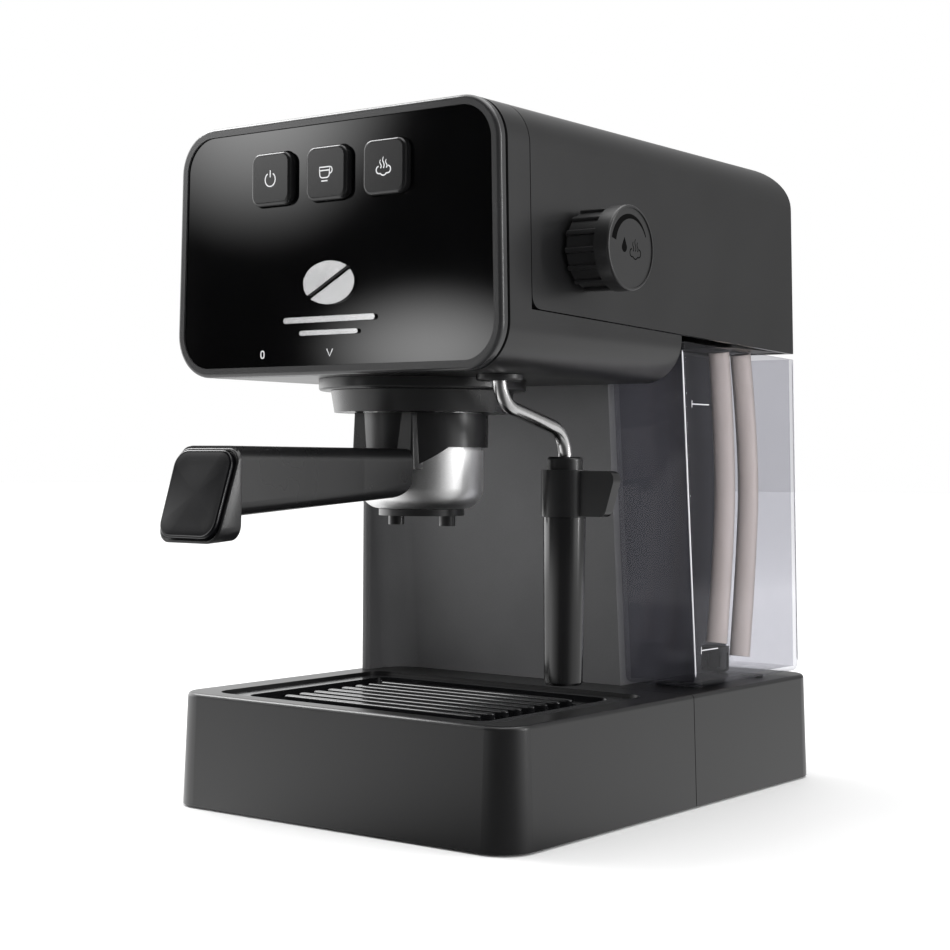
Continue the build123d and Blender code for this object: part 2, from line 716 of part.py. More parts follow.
with BuildPart() as group_ring:
    with BuildSketch(level(RING_FOOT)):
        with Locations((0, GROUP_Y)):
            Circle(RING_OUTER - 1.4)
    extrude(amount=FLANGE_FOOT - 0.1 - RING_FOOT, taper=-9.6)
    with BuildSketch(level(RING_FOOT)):
        with Locations((0, GROUP_Y)):
            Circle(29.6)
    extrude(amount=10, mode=Mode.SUBTRACT)
    with BuildSketch(level(LEDGE_TOP)):
        with Locations((0, GROUP_Y)):
            Circle(33.4)
    extrude(amount=10, mode=Mode.SUBTRACT)
    with BuildSketch(level(RING_FOOT)):
        with Locations((0, GROUP_Y)):
            with PolarLocations(0, 2, start_angle=-BAYONET_TURN):
                with Locations((30, 0)):
                    Rectangle(6.6, 22)
    extrude(amount=3, mode=Mode.SUBTRACT)
    with BuildSketch(level(RING_FOOT)):
        with Locations((0, GROUP_Y)):
            with PolarLocations(GROUP_BOLT_CIRCLE, 4, start_angle=45):
                Circle(GROUP_BOLT + 0.1)
    extrude(amount=20, mode=Mode.SUBTRACT)
group_ring.part.label = "group_ring"
export_step(group_ring.part, "parts/group_ring.step")

with BuildPart() as group_bolts:
    with BuildSketch(level(RING_FOOT + 0.6)):
        with Locations((0, GROUP_Y)):
            with PolarLocations(GROUP_BOLT_CIRCLE, 4, start_angle=45):
                Circle(GROUP_BOLT)
    extrude(amount=22)
group_bolts.part.label = "group_bolts"
export_step(group_bolts.part, "parts/group_bolts.step")

with BuildPart() as group_gasket:
    with BuildSketch(level(BASKET_RIM + 0.1)):
        with Locations((0, GROUP_Y)):
            Circle(33.0)
            Circle(25.6, mode=Mode.SUBTRACT)
    extrude(amount=GASKET_TOP - BASKET_RIM - 0.2)
group_gasket.part.label = "group_gasket"
export_step(group_gasket.part, "parts/group_gasket.step")

with BuildPart() as shower_screen:
    with BuildSketch(level(182.6)):
        with Locations((0, GROUP_Y)):
            Circle(24.8)
            Circle(2.3, mode=Mode.SUBTRACT)
            for ring, count in ((6, 8), (11, 14), (16, 20), (21, 26)):
                with PolarLocations(ring, count):
                    Circle(0.7, mode=Mode.SUBTRACT)
    extrude(amount=0.8)
shower_screen.part.label = "shower_screen"
export_step(shower_screen.part, "parts/shower_screen.step")

with BuildPart() as shower_screw:
    with BuildSketch(level(181.2)):
        with Locations((0, GROUP_Y)):
            Circle(4)
    extrude(amount=1.3)
    with BuildSketch(level(182.5)):
        with Locations((0, GROUP_Y)):
            Circle(2.1)
    extrude(amount=9)
    with BuildSketch(level(181.2)):
        with Locations((0, GROUP_Y)):
            Rectangle(5, 0.9)
    extrude(amount=0.8, mode=Mode.SUBTRACT)
shower_screw.part.label = "shower_screw"
export_step(shower_screw.part, "parts/shower_screw.step")

with BuildPart() as thermoblock:
    with BuildSketch(level(GASKET_TOP)):
        with Locations((0, GROUP_Y)):
            Circle(33.5)
            Circle(2.2, mode=Mode.SUBTRACT)
    extrude(amount=BOILER_FOOT + 0.1 - GASKET_TOP)
    with BuildSketch(level(BOILER_FOOT + 0.1)):
        add(plan(-38, 38, 26, 100, 10))
        with Locations((0, GROUP_Y)):
            with PolarLocations(GROUP_BOLT_CIRCLE, 4, start_angle=45):
                Circle(GROUP_BOLT + 0.1, mode=Mode.SUBTRACT)
    extrude(amount=26)
    with BuildSketch(level(BOILER_FOOT + 26.1)):
        add(plan(-30, 30, 34, 92, 8))
    extrude(amount=6)
thermoblock.part.label = "thermoblock"
export_step(thermoblock.part, "parts/thermoblock.step")

HEATER_Z = 230.4
with BuildPart() as heating_element:
    with BuildLine():
        FilletPolyline(
            at(-20, 100, HEATER_Z),
            at(-20, 44, HEATER_Z),
            at(20, 44, HEATER_Z),
            at(20, 100, HEATER_Z),
            radius=14,
        )
    with BuildSketch(front(100)):
        with Locations((-20, HEATER_Z)):
            Circle(3.9)
    sweep()
heating_element.part.label = "heating_element"
export_step(heating_element.part, "parts/heating_element.step")

with BuildPart() as thermostats:
    with BuildSketch(level(BOILER_FOOT + 32.2)):
        with Locations((0, 58), (0, 78)):
            Circle(7)
    extrude(amount=6)
    with BuildSketch(level(BOILER_FOOT + 38.2)):
        with Locations((-3, 58), (3, 58), (-3, 78), (3, 78)):
            Rectangle(1, 4)
    extrude(amount=7)
thermostats.part.label = "thermostats"
export_step(thermostats.part, "parts/thermostats.step")

# ---- portafilter --------------------------------------------------------------------------
BOWL = 26.9
BOWL_FOOT = 132.7
BOWL_SHOULDER = 158.4
SPRING_Z = 172.0

with BuildPart() as portafilter_body:
    with BuildSketch(turning(0, GROUP_Y)):
        with BuildLine():
            FilletPolyline(
                (3.5, BOWL_FOOT),
                (BOWL, BOWL_FOOT),
                (BOWL, BOWL_SHOULDER),
                (BOWL - 0.9, BOWL_SHOULDER),
                (BOWL - 0.9, CUP_RIM - 1.4),
                (BOWL - 0.9, CUP_RIM),
                (25.5, CUP_RIM),
                (25.5, SPRING_Z + 0.9),
                (25.75, SPRING_Z + 0.8),
                (25.75, SPRING_Z - 0.8),
                (25.5, SPRING_Z - 0.9),
                (25.5, 147),
                (19, 137),
                (3.5, 135.5),
                radius=[0, 9, 0, 0, 0, 0, 0, 0, 0, 0, 0, 2, 4, 0],
                close=True,
            )
        make_face()
    revolve(axis=upright(0, GROUP_Y))
    with BuildSketch(level(EAR_FOOT)):
        with Locations((0, GROUP_Y)):
            Circle(EAR_REACH)
            Rectangle(2 * EAR_REACH, EAR_WIDE, mode=Mode.INTERSECT)
            Circle(BOWL - 1.2, mode=Mode.SUBTRACT)
    extrude(amount=EAR_TOP - EAR_FOOT)
portafilter_body.part.label = "portafilter_body"
export_step(portafilter_body.part, "parts/portafilter_body.step")

with BuildPart() as filter_basket:
    with BuildSketch(turning(0, GROUP_Y)):
        with BuildLine():
            Polyline(
                (0, 153.0),
                (22.0, 153.0),
                (25.0, 157.0),
                (25.0, BASKET_RIM - 0.7),
                (26.5, BASKET_RIM - 0.7),
                (26.5, BASKET_RIM),
                (24.4, BASKET_RIM),
                (24.4, 157.3),
                (21.6, 153.7),
                (0, 153.7),
                close=True,
            )
        make_face()
    revolve(axis=upright(0, GROUP_Y))
    with BuildSketch(level(152)):
        with Locations((0, GROUP_Y)):
            for ring, count in ((5, 8), (10, 14), (15, 20)):
                with PolarLocations(ring, count):
                    Circle(0.6)
    extrude(amount=3, mode=Mode.SUBTRACT)
filter_basket.part.label = "filter_basket"
export_step(filter_basket.part, "parts/filter_basket.step")

with BuildPart() as basket_spring:
    with BuildSketch(turning(0, GROUP_Y)):
        with Locations((25.35, SPRING_Z)):
            Circle(0.32)
    revolve(axis=upright(0, GROUP_Y))
basket_spring.part.label = "basket_spring"
export_step(basket_spring.part, "parts/basket_spring.step")

HANDLE_TOP = 158.8
HANDLE_ROOT_HALF = 17.8
COLLAR_OUTER = 29.0
CAP_BACK = -67.5

ARM_END = 34.0  # where the arm stops, under the ring
ARM_CORNER = 5.5
RISER_HALF = 17.2
SADDLE_LOW = (26.0, 142.5)
SADDLE_HIGH = (48.7, 159.6)

with BuildPart() as handle_arm:
    for y, half, foot in (
        (ARM_END, HANDLE_ROOT_HALF, 138.4),
        (4.0, 16.6, 136.4),
        (CAP_BACK, 15.2, 131.6),
    ):
        with BuildSketch(front(y)):
            add(plan(-half, half, foot, HANDLE_TOP, ARM_CORNER))
    loft(ruled=True)
    with BuildSketch(side(-30)):
        with BuildLine():
            FilletPolyline(
                (CAP_BACK - 1, 125),
                (CAP_BACK - 1, HANDLE_TOP + 2),
                (ARM_END, HANDLE_TOP + 2),
                (ARM_END, 138.3),
                (4, 136.3),
                (CAP_BACK, 125),
                radius=[0, 0, 0, 10, 0, 0],
                close=True,
            )
        make_face()
    extrude(amount=60, mode=Mode.INTERSECT)

with BuildPart() as handle_riser:
    with BuildSketch(level(150)):
        add(plan(-RISER_HALF, RISER_HALF, ARM_END + 0.4, 52, 1.5))
    extrude(amount=RING_FOOT - 0.3 - 150, taper=2.5)

with BuildPart() as handle_saddle:
    with BuildSketch(level(140)):
        with Locations((0, GROUP_Y)):
            Circle(COLLAR_OUTER)
    extrude(amount=RING_FOOT - 0.3 - 140)
    with BuildSketch(side(-40)):
        add(
            profile(
                SADDLE_LOW,
                SADDLE_HIGH,
                (GROUP_Y + 40, SADDLE_HIGH[1]),
                (GROUP_Y + 40, HEAD_FOOT),
                (SADDLE_LOW[0], HEAD_FOOT),
            )
        )
    extrude(amount=80, mode=Mode.INTERSECT)

with BuildPart() as portafilter_handle:
    add(handle_arm.part)
    add(handle_riser.part)
    add(handle_saddle.part)
    with BuildSketch(level(120)):
        with Locations((0, GROUP_Y)):
            Circle(BOWL + 0.25)
    extrude(amount=60, mode=Mode.SUBTRACT)
    with BuildSketch(front(CAP_BACK - 1)):
        with Locations((0, 146)):
            Circle(3.2)
    extrude(amount=-70, mode=Mode.SUBTRACT)
portafilter_handle.part.label = "portafilter_handle"
export_step(portafilter_handle.part, "parts/portafilter_handle.step")

with BuildPart() as handle_bolt:
    with BuildSketch(front(CAP_BACK + 2)):
        with Locations((0, 146)):
            Circle(3.0)
    extrude(amount=-66)
handle_bolt.part.label = "handle_bolt"
export_step(handle_bolt.part, "parts/handle_bolt.step")

CAP_HALF = 17.0
CAP_TOP = 158.6
CAP_FOOT = 122.4
CAP_FACE_TOP = -70.0  # where the slanting face meets the top

with BuildPart() as handle_cap:
    with BuildSketch(front(CAP_BACK - 0.1)):
        add(plan(-CAP_HALF, CAP_HALF, CAP_FOOT, CAP_TOP, 9))
    extrude(amount=CAP_BACK - 0.1 - HANDLE_TIP)
    with BuildSketch(side(-30)):
        add(
            profile(
                (CAP_BACK + 5, CAP_TOP),
                (CAP_FACE_TOP, CAP_TOP),
                (HANDLE_TIP, CAP_FOOT),
                (CAP_BACK + 5, CAP_FOOT),
            )
        )
    extrude(amount=60, mode=Mode.INTERSECT)
handle_cap.part.label = "handle_cap"
export_step(handle_cap.part, "parts/handle_cap.step")

NOZZLE_X = 14.3
with BuildPart() as spout_block:
    with BuildSketch(level(129.8)):
        with Locations((0, GROUP_Y)):
            Circle(18.8)
    extrude(amount=BOWL_FOOT - 0.1 - 129.8)
    with BuildSketch(level(125.4)):
        with Locations((-NOZZLE_X, GROUP_Y), (NOZZLE_X, GROUP_Y)):
            Circle(3.5)
    extrude(amount=4.4)
    with BuildSketch(level(125)):
        with Locations((-NOZZLE_X, GROUP_Y), (NOZZLE_X, GROUP_Y)):
            Circle(2.3)
    extrude(amount=6.4, mode=Mode.SUBTRACT)
    with BuildSketch(level(131.2)):
        with Locations((0, GROUP_Y)):
            SlotOverall(2 * NOZZLE_X + 6, 5)
    extrude(amount=4, mode=Mode.SUBTRACT)
spout_block.part.label = "spout_block"
export_step(spout_block.part, "parts/spout_block.step")

# ---- steam wand ---------------------------------------------------------------------------
PIPE = 3.0  # radius of the steam pipe
PIPE_TOP = 205.0
PIPE_BEND_TOP = 177.6
PIPE_BEND_FOOT = 166.3
PIPE_FOOT = 136.0

with BuildPart() as steam_pipe:
    with BuildLine():
        FilletPolyline(
            at(WAND_X, WAND_PIVOT_Y, PIPE_TOP),
            at(WAND_X, WAND_PIVOT_Y, PIPE_BEND_TOP),
            at(WAND_X, WAND_TUBE_Y, PIPE_BEND_FOOT),
            at(WAND_X, WAND_TUBE_Y, PIPE_FOOT),
            radius=13,
        )
    with BuildSketch(level(PIPE_TOP)):
        with Locations((WAND_X, WAND_PIVOT_Y)):
            Circle(PIPE)
    sweep()
    with BuildSketch(level(194.6)):
        with Locations((WAND_X, WAND_PIVOT_Y)):
            Circle(5)
    extrude(amount=1.6)
steam_pipe.part.label = "steam_pipe"
export_step(steam_pipe.part, "parts/steam_pipe.step")

with BuildPart() as wand_socket:
    with BuildSketch(level(186.4)):
        with Locations((WAND_X, WAND_PIVOT_Y)):
            Circle(9.6)
    extrude(amount=HEAD_FOOT - 0.1 - 186.4)
    fillet(wand_socket.edges().group_by(Axis.Z)[0], radius=1.0)
    with BuildSketch(level(HEAD_FOOT - 0.1)):
        with Locations((WAND_X, WAND_PIVOT_Y)):
            Circle(WAND_HOLE - 0.2)
    extrude(amount=5.4)
    with BuildSketch(level(180)):
        with Locations((WAND_X, WAND_PIVOT_Y)):
            Circle(PIPE + 0.08)
    extrude(amount=20, mode=Mode.SUBTRACT)
wand_socket.part.label = "wand_socket"
export_step(wand_socket.part, "parts/wand_socket.step")

GRIP_TOP = 150.2
GRIP_FOOT = 130.2
GRIP = 10.1
TAB_REACH = 88.4

with BuildPart() as pipe_collar:
    with BuildSketch(level(GRIP_TOP + 0.05)):
        with Locations((WAND_X, WAND_TUBE_Y)):
            Circle(7.7)
    extrude(amount=5.6)
    fillet(pipe_collar.edges().group_by(Axis.Z)[-1], radius=1.6)
    with BuildSketch(level(GRIP_TOP)):
        with Locations((WAND_X, WAND_TUBE_Y)):
            Circle(PIPE + 0.05)
    extrude(amount=8, mode=Mode.SUBTRACT)
pipe_collar.part.label = "pipe_collar"
export_step(pipe_collar.part, "parts/pipe_collar.step")

with BuildPart() as wand_grip:
    with BuildSketch(level(GRIP_FOOT)):
        with Locations((WAND_X, WAND_TUBE_Y)):
            Circle(GRIP)
    extrude(amount=GRIP_TOP - GRIP_FOOT)
    with BuildSketch(front(WAND_TUBE_Y)):
        with BuildLine():
            FilletPolyline(
                (WAND_X, GRIP_FOOT + 0.3),
                (TAB_REACH - 4.4, GRIP_FOOT + 0.3),
                (TAB_REACH, GRIP_TOP - 5),
                (TAB_REACH, GRIP_TOP - 0.3),
                (WAND_X, GRIP_TOP - 0.3),
                radius=[0, 3.5, 6, 3.2, 0],
                close=True,
            )
        make_face()
    extrude(amount=2.8, both=True)
    with BuildSketch(level(GRIP_FOOT - 1)):
        with Locations((WAND_X, WAND_TUBE_Y)):
            Circle(PIPE + 0.05)
    extrude(amount=24, mode=Mode.SUBTRACT)
    with BuildSketch(level(GRIP_FOOT - 1)):
        with Locations((WAND_X, WAND_TUBE_Y)):
            Circle(6.4)
    extrude(amount=9, mode=Mode.SUBTRACT)
wand_grip.part.label = "wand_grip"
export_step(wand_grip.part, "parts/wand_grip.step")

SLEEVE_FOOT = 58.2

with BuildPart() as frother_sleeve:
    with BuildSketch(turning(WAND_X, WAND_TUBE_Y)):
        add(
            profile(
                (7.2, GRIP_FOOT - 0.2),
                (9.2, GRIP_FOOT - 0.2),
                (8.3, SLEEVE_FOOT + 1.2),
                (7.3, SLEEVE_FOOT),
                (6.4, SLEEVE_FOOT),
                (6.4, SLEEVE_FOOT + 50),
            )
        )
    revolve(axis=upright(WAND_X, WAND_TUBE_Y))
frother_sleeve.part.label = "frother_sleeve"
export_step(frother_sleeve.part, "parts/frother_sleeve.step")

with BuildPart() as frother_nozzle:
    with BuildSketch(turning(WAND_X, WAND_TUBE_Y)):
        add(
            profile(
                (0, PIPE_FOOT - 0.1),
                (6.2, PIPE_FOOT - 0.1),
                (6.2, GRIP_FOOT - 14),
                (4.2, GRIP_FOOT - 20),
                (3.4, SLEEVE_FOOT + 9),
                (0, SLEEVE_FOOT + 9),
            )
        )
    revolve(axis=upright(WAND_X, WAND_TUBE_Y))
    with BuildSketch(level(SLEEVE_FOOT + 8)):
        with Locations((WAND_X, WAND_TUBE_Y)):
            Circle(1.2)
    extrude(amount=PIPE_FOOT - SLEEVE_FOOT - 7, mode=Mode.SUBTRACT)
frother_nozzle.part.label = "frother_nozzle"
export_step(frother_nozzle.part, "parts/frother_nozzle.step")

# ---- water tank and hoses -----------------------------------------------------------------
TANK_WALL = 2.2
TANK_FRONT_TOP = 136.4
TANK_FRONT_FOOT = 150.6
TANK_REAR_TOP = 243.0
TANK_REAR_FOOT = 250.8

with BuildPart() as water_tank:
    with BuildSketch(side(TANK_LEFT)):
        add(
            profile(
                (TANK_FRONT_FOOT, TANK_FOOT),
                (TANK_REAR_FOOT, TANK_FOOT),
                (TANK_REAR_TOP, TANK_TOP_REAR),
                (TANK_FRONT_TOP, TANK_TOP_FRONT),
            )
        )
    extrude(amount=TANK_RIGHT - TANK_LEFT)
    fillet(water_tank.edges().filter_by(Axis.X).group_by(Axis.Z)[0], radius=4)
    uprights = water_tank.edges().filter_by(lambda e: e.length > 120)
    fillet(uprights, radius=2.0)
    with BuildSketch(side(TANK_LEFT + TANK_WALL)):
        add(
            profile(
                (TANK_FRONT_FOOT + TANK_WALL, TANK_FOOT + TANK_WALL),
                (TANK_REAR_FOOT - TANK_WALL, TANK_FOOT + TANK_WALL),
                (TANK_REAR_TOP - TANK_WALL, TANK_TOP_REAR + 8),
                (TANK_FRONT_TOP + TANK_WALL - 0.7, TANK_TOP_FRONT + 8),
            )
        )
    extrude(amount=TANK_RIGHT - TANK_LEFT - 2 * TANK_WALL, mode=Mode.SUBTRACT)
water_tank.part.label = "water_tank"
export_step(water_tank.part, "parts/water_tank.step")

HOSE = 5.0  # radius of the silicone hoses
HOSE_X = 70.0
HOSE_TOP = 206.4
SUCTION_ROUTE = [(HOSE_X, 200.6, HOSE_TOP), (HOSE_X, 208.2, 158.0), (HOSE_X, 206.4, 108.0), (HOSE_X, 200.8, 68.0)]
RETURN_ROUTE = [(HOSE_X, 221.6, HOSE_TOP), (HOSE_X, 231.4, 158.0), (HOSE_X, 229.6, 108.0), (HOSE_X, 223.4, 60.0)]


def route_radii(route):
    """Radius of each corner of a hose: as large as its two runs allow."""
    radii = []
    for before, corner, after in zip(route, route[1:], route[2:]):
        inward = Vector(*corner) - Vector(*before)
        outward = Vector(*after) - Vector(*corner)
        half_turn = inward.get_angle(outward) / 2
        shorter = min(inward.length, outward.length)
        radii.append(0.45 * shorter / math.tan(math.radians(half_turn)))
    return radii


for hose_name, route in (("suction_hose", SUCTION_ROUTE), ("return_hose", RETURN_ROUTE)):
    radii = route_radii(route)
    with BuildPart() as hose:
        with BuildLine() as hose_path:
            FilletPolyline(*[at(*point) for point in route], radius=radii)
        with BuildSketch(Plane(origin=hose_path.line @ 0, z_dir=hose_path.line % 0)):
            Circle(HOSE)
        sweep()
    length = sum(edge.length for edge in hose_path.edges())
    print(hose_name, "radii", [round(radius) for radius in radii], "length", round(length, 1))
    print("volume", round(hose.part.volume), "section times length", round(math.pi * HOSE**2 * length))
    hose.part.label = hose_name
    export_step(hose.part, f"parts/{hose_name}.step")

with BuildPart() as intake_strainer:
    with BuildSketch(level(SUCTION_ROUTE[-1][2] - 13)):
        with Locations((HOSE_X, 199.6)):
            Circle(6.6)
    extrude(amount=11.6)
    fillet(intake_strainer.edges().group_by(Axis.Z)[0], radius=1.4)
    with BuildSketch(level(SUCTION_ROUTE[-1][2] - 11)):
        with Locations((HOSE_X, 199.6)):
            with PolarLocations(6.6, 8):
                Rectangle(3, 1.4)
    extrude(amount=7, mode=Mode.SUBTRACT)
intake_strainer.part.label = "intake_strainer"
export_step(intake_strainer.part, "parts/intake_strainer.step")

PLATE_Z = HOSE_TOP + 1.1
NIPPLES = [(HOSE_X, 200.6), (HOSE_X, 221.6)]
NIPPLE_TOP = PLATE_Z + 12

with BuildPart() as hose_plate:
    with BuildSketch(level(PLATE_Z)):
        add(plan(52, 85.2, 186, 236, 3))
    extrude(amount=2.2)
    with BuildSketch(level(PLATE_Z + 2.2)):
        with Locations(*NIPPLES):
            Circle(4.2)
    extrude(amount=NIPPLE_TOP - PLATE_Z - 2.2)
    with BuildSketch(level(PLATE_Z)):
        with Locations(*NIPPLES):
            Circle(2.6)
    extrude(amount=20, mode=Mode.SUBTRACT)
hose_plate.part.label = "hose_plate"
export_step(hose_plate.part, "parts/hose_plate.step")

# ---- pump, pipes and electrics inside the column and the head ------------------------------
PUMP_X = -10.0
PUMP_Y = 188.0
PUMP_FOOT = 90.0
PUMP_TOP = 176.0
SHELVES = (98.0, 164.0)
CRADLE_Y = 168.4

with BuildPart() as pump_cradle:
    with BuildSketch(front(CRADLE_Y)):
        add(plan(PUMP_X - 22, PUMP_X + 22, BASE_TOP + 0.1, 172, 1))
    extrude(amount=2.4)
    for shelf in SHELVES:
        with BuildSketch(level(shelf)):
            add(plan(PUMP_X - 22, PUMP_X + 22, CRADLE_Y - 0.5, PUMP_Y + 18, 1))
            with Locations((PUMP_X, PUMP_Y)):
                Circle(13.2, mode=Mode.SUBTRACT)
        extrude(amount=2.4)
pump_cradle.part.label = "pump_cradle"
export_step(pump_cradle.part, "parts/pump_cradle.step")

with BuildPart() as pump_mounts:
    with BuildSketch(turning(PUMP_X, PUMP_Y)):
        for shelf in SHELVES:
            add(
                profile(
                    (11.2, shelf - 3),
                    (16.5, shelf - 3),
                    (16.5, shelf - 0.1),
                    (13.1, shelf - 0.1),
                    (13.1, shelf + 2.5),
                    (16.5, shelf + 2.5),
                    (16.5, shelf + 5.4),
                    (11.2, shelf + 5.4),
                )
            )
    revolve(axis=upright(PUMP_X, PUMP_Y))
pump_mounts.part.label = "pump_mounts"
export_step(pump_mounts.part, "parts/pump_mounts.step")

with BuildPart() as pump_body:
    with BuildSketch(turning(PUMP_X, PUMP_Y)):
        add(
            profile(
                (0, PUMP_FOOT - 10),
                (3, PUMP_FOOT - 10),
                (3, PUMP_FOOT),
                (11.1, PUMP_FOOT),
                (11.1, PUMP_TOP),
                (4, PUMP_TOP),
                (4, PUMP_TOP + 8),
                (0, PUMP_TOP + 8),
            )
        )
    revolve(axis=upright(PUMP_X, PUMP_Y))
pump_body.part.label = "pump_body"
export_step(pump_body.part, "parts/pump_body.step")

with BuildPart() as pump_coil:
    with BuildSketch(level(112)):
        add(plan(PUMP_X - 19, PUMP_X + 19, PUMP_Y - 17, PUMP_Y + 17, 3))
        with Locations((PUMP_X, PUMP_Y)):
            Circle(11.3, mode=Mode.SUBTRACT)
    extrude(amount=42)
    fillet(pump_coil.edges().filter_by(GeomType.LINE).group_by(Axis.Z)[-1], radius=1.5)
pump_coil.part.label = "pump_coil"
export_step(pump_coil.part, "parts/pump_coil.step")

VALVE_FOOT = PUMP_TOP + 0.3
VALVE_TOP = PUMP_TOP + 20

with BuildPart() as pressure_valve:
    with BuildSketch(level(VALVE_FOOT)):
        add(plan(PUMP_X - 9, PUMP_X + 9, PUMP_Y - 9, PUMP_Y + 9, 2))
    extrude(amount=VALVE_TOP - VALVE_FOOT - 4)
    with BuildSketch(level(VALVE_TOP - 4)):
        with Locations((PUMP_X, PUMP_Y)):
            Circle(4)
    extrude(amount=4)
    with BuildSketch(level(VALVE_FOOT)):
        with Locations((PUMP_X, PUMP_Y)):
            Circle(4.1)
    extrude(amount=8.2, mode=Mode.SUBTRACT)
pressure_valve.part.label = "pressure_valve"
export_step(pressure_valve.part, "parts/pressure_valve.step")


def make_pipe(name, radius, bend, start, *points):
    """Round pipe through the given points, its bends all of one radius."""
    with BuildPart() as pipe:
        with BuildLine() as route:
            FilletPolyline(*[at(*point) for point in (start, *points)], radius=bend)
        with BuildSketch(Plane(origin=route.line @ 0, z_dir=route.line % 0)):
            Circle(radius)
        sweep()
    pipe.part.label = name
    export_step(pipe.part, f"parts/{name}.step")


PIPE_Z = 212.0  # height of the pipes that enter the heater block
make_pipe(
    "brew_pipe", 2.5, 12,
    (PUMP_X, PUMP_Y, VALVE_TOP + 0.1), (PUMP_X, PUMP_Y, PIPE_Z + 14),
    (PUMP_X, 118, PIPE_Z), (PUMP_X, 100.1, PIPE_Z),
)
make_pipe(
    "inlet_pipe", 3.6, 11,
    (HOSE_X, 200.6, NIPPLE_TOP + 0.1), (HOSE_X, 200.6, 240), (28, 214, 240), (28, 214, 64),
    (PUMP_X, PUMP_Y, 64), (PUMP_X, PUMP_Y, PUMP_FOOT - 10.1),
)
make_pipe(
    "relief_pipe", 2.6, 9,
    (PUMP_X + 9.1, PUMP_Y, 184), (16, PUMP_Y, 184), (16, PUMP_Y, 250),
    (HOSE_X, 221.6, 250), (HOSE_X, 221.6, NIPPLE_TOP + 0.1),
)

with BuildPart() as steam_line:
    for bend, spots in (
        (7, ((55, KNOB_Y, KNOB_Z - 11.1), (55, KNOB_Y, PIPE_Z), (38.1, KNOB_Y, PIPE_Z))),
        (
            4.5,
            (
                (WAND_X, KNOB_Y - 12.1, KNOB_Z),
                (WAND_X, WAND_PIVOT_Y, KNOB_Z),
                (WAND_X, WAND_PIVOT_Y, PIPE_TOP + 0.3),
            ),
        ),
    ):
        with BuildLine() as run:
            FilletPolyline(*[at(*spot) for spot in spots], radius=bend)
        with BuildSketch(Plane(origin=run.line @ 0, z_dir=run.line % 0)):
            Circle(2)
        sweep(path=run.line)
steam_line.part.label = "steam_line"
export_step(steam_line.part, "parts/steam_line.step")

BOARD_Z = 262.0
with BuildPart() as control_board:
    with BuildSketch(level(BOARD_Z)):
        add(plan(-70, 30, 112, 200, 3))
    extrude(amount=1.6)
    with BuildSketch(level(BOARD_Z + 1.6)):
        for x, y, wide, deep in ((-52, 130, 20, 16), (-52, 156, 20, 16), (0, 180, 28, 22), (-40, 184, 24, 12)):
            with Locations((x, y)):
                RectangleRounded(wide, deep, 1)
        with Locations((4, 132), (4, 150)):
            Circle(7)
    extrude(amount=15)
control_board.part.label = "control_board"
export_step(control_board.part, "parts/control_board.step")
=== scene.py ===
import json
import logging
import math
from dataclasses import dataclass, field
from enum import Enum
from typing import Any, Iterable, Optional, Sequence

import bmesh
import bpy
from mathutils import Matrix, Vector


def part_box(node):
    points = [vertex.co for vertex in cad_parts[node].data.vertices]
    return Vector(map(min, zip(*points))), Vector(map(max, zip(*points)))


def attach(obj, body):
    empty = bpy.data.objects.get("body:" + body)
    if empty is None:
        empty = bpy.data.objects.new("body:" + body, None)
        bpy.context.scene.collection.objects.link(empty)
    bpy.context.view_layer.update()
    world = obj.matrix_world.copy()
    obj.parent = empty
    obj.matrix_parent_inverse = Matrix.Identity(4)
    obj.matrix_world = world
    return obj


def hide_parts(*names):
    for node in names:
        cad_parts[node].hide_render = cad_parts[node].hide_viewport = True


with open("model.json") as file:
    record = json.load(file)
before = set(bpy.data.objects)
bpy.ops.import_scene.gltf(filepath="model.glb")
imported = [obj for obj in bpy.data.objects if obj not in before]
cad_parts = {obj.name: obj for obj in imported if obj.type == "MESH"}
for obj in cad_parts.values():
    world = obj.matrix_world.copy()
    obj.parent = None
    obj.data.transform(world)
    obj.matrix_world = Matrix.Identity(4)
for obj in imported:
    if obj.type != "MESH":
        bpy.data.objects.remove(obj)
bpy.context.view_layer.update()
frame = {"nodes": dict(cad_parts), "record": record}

LOG = logging.getLogger("espresso_machine")
MM = 0.001
NOISE_LOW, NOISE_HIGH = 0.3, 0.7  # where most of a noise's values lie
Colour = tuple[float, float, float]
Spot = tuple[float, float]


# ---- shader nodes -------------------------------------------------------------------------
class Wire:
    """A shader value that can be used in plain arithmetic."""

    def __init__(self, shader: "Shader", socket: Any) -> None:
        """Holds a node's output.

        Args:
            shader: the material that the node belongs to.
            socket: the output socket.
        """
        self.shader = shader
        self.socket = socket

    def _math(self, operation: str, first: Any, second: Any) -> "Wire":
        """Adds one Math node.

        Args:
            operation: the node's operation.
            first: the left-hand value or Wire.
            second: the right-hand value or Wire.

        Returns:
            The node's result.
        """
        node = self.shader.make("ShaderNodeMath", {"operation": operation}, {0: first, 1: second})
        return Wire(self.shader, node.outputs[0])

    def __add__(self, other: Any) -> "Wire":
        """Sum of the two."""
        return self._math("ADD", self, other)

    def __radd__(self, other: Any) -> "Wire":
        """Sum of the two, the plain number first."""
        return self._math("ADD", other, self)

    def __sub__(self, other: Any) -> "Wire":
        """This less the other."""
        return self._math("SUBTRACT", self, other)

    def __rsub__(self, other: Any) -> "Wire":
        """The other less this."""
        return self._math("SUBTRACT", other, self)

    def __mul__(self, other: Any) -> "Wire":
        """Product of the two."""
        return self._math("MULTIPLY", self, other)

    def __rmul__(self, other: Any) -> "Wire":
        """Product of the two, the plain number first."""
        return self._math("MULTIPLY", other, self)


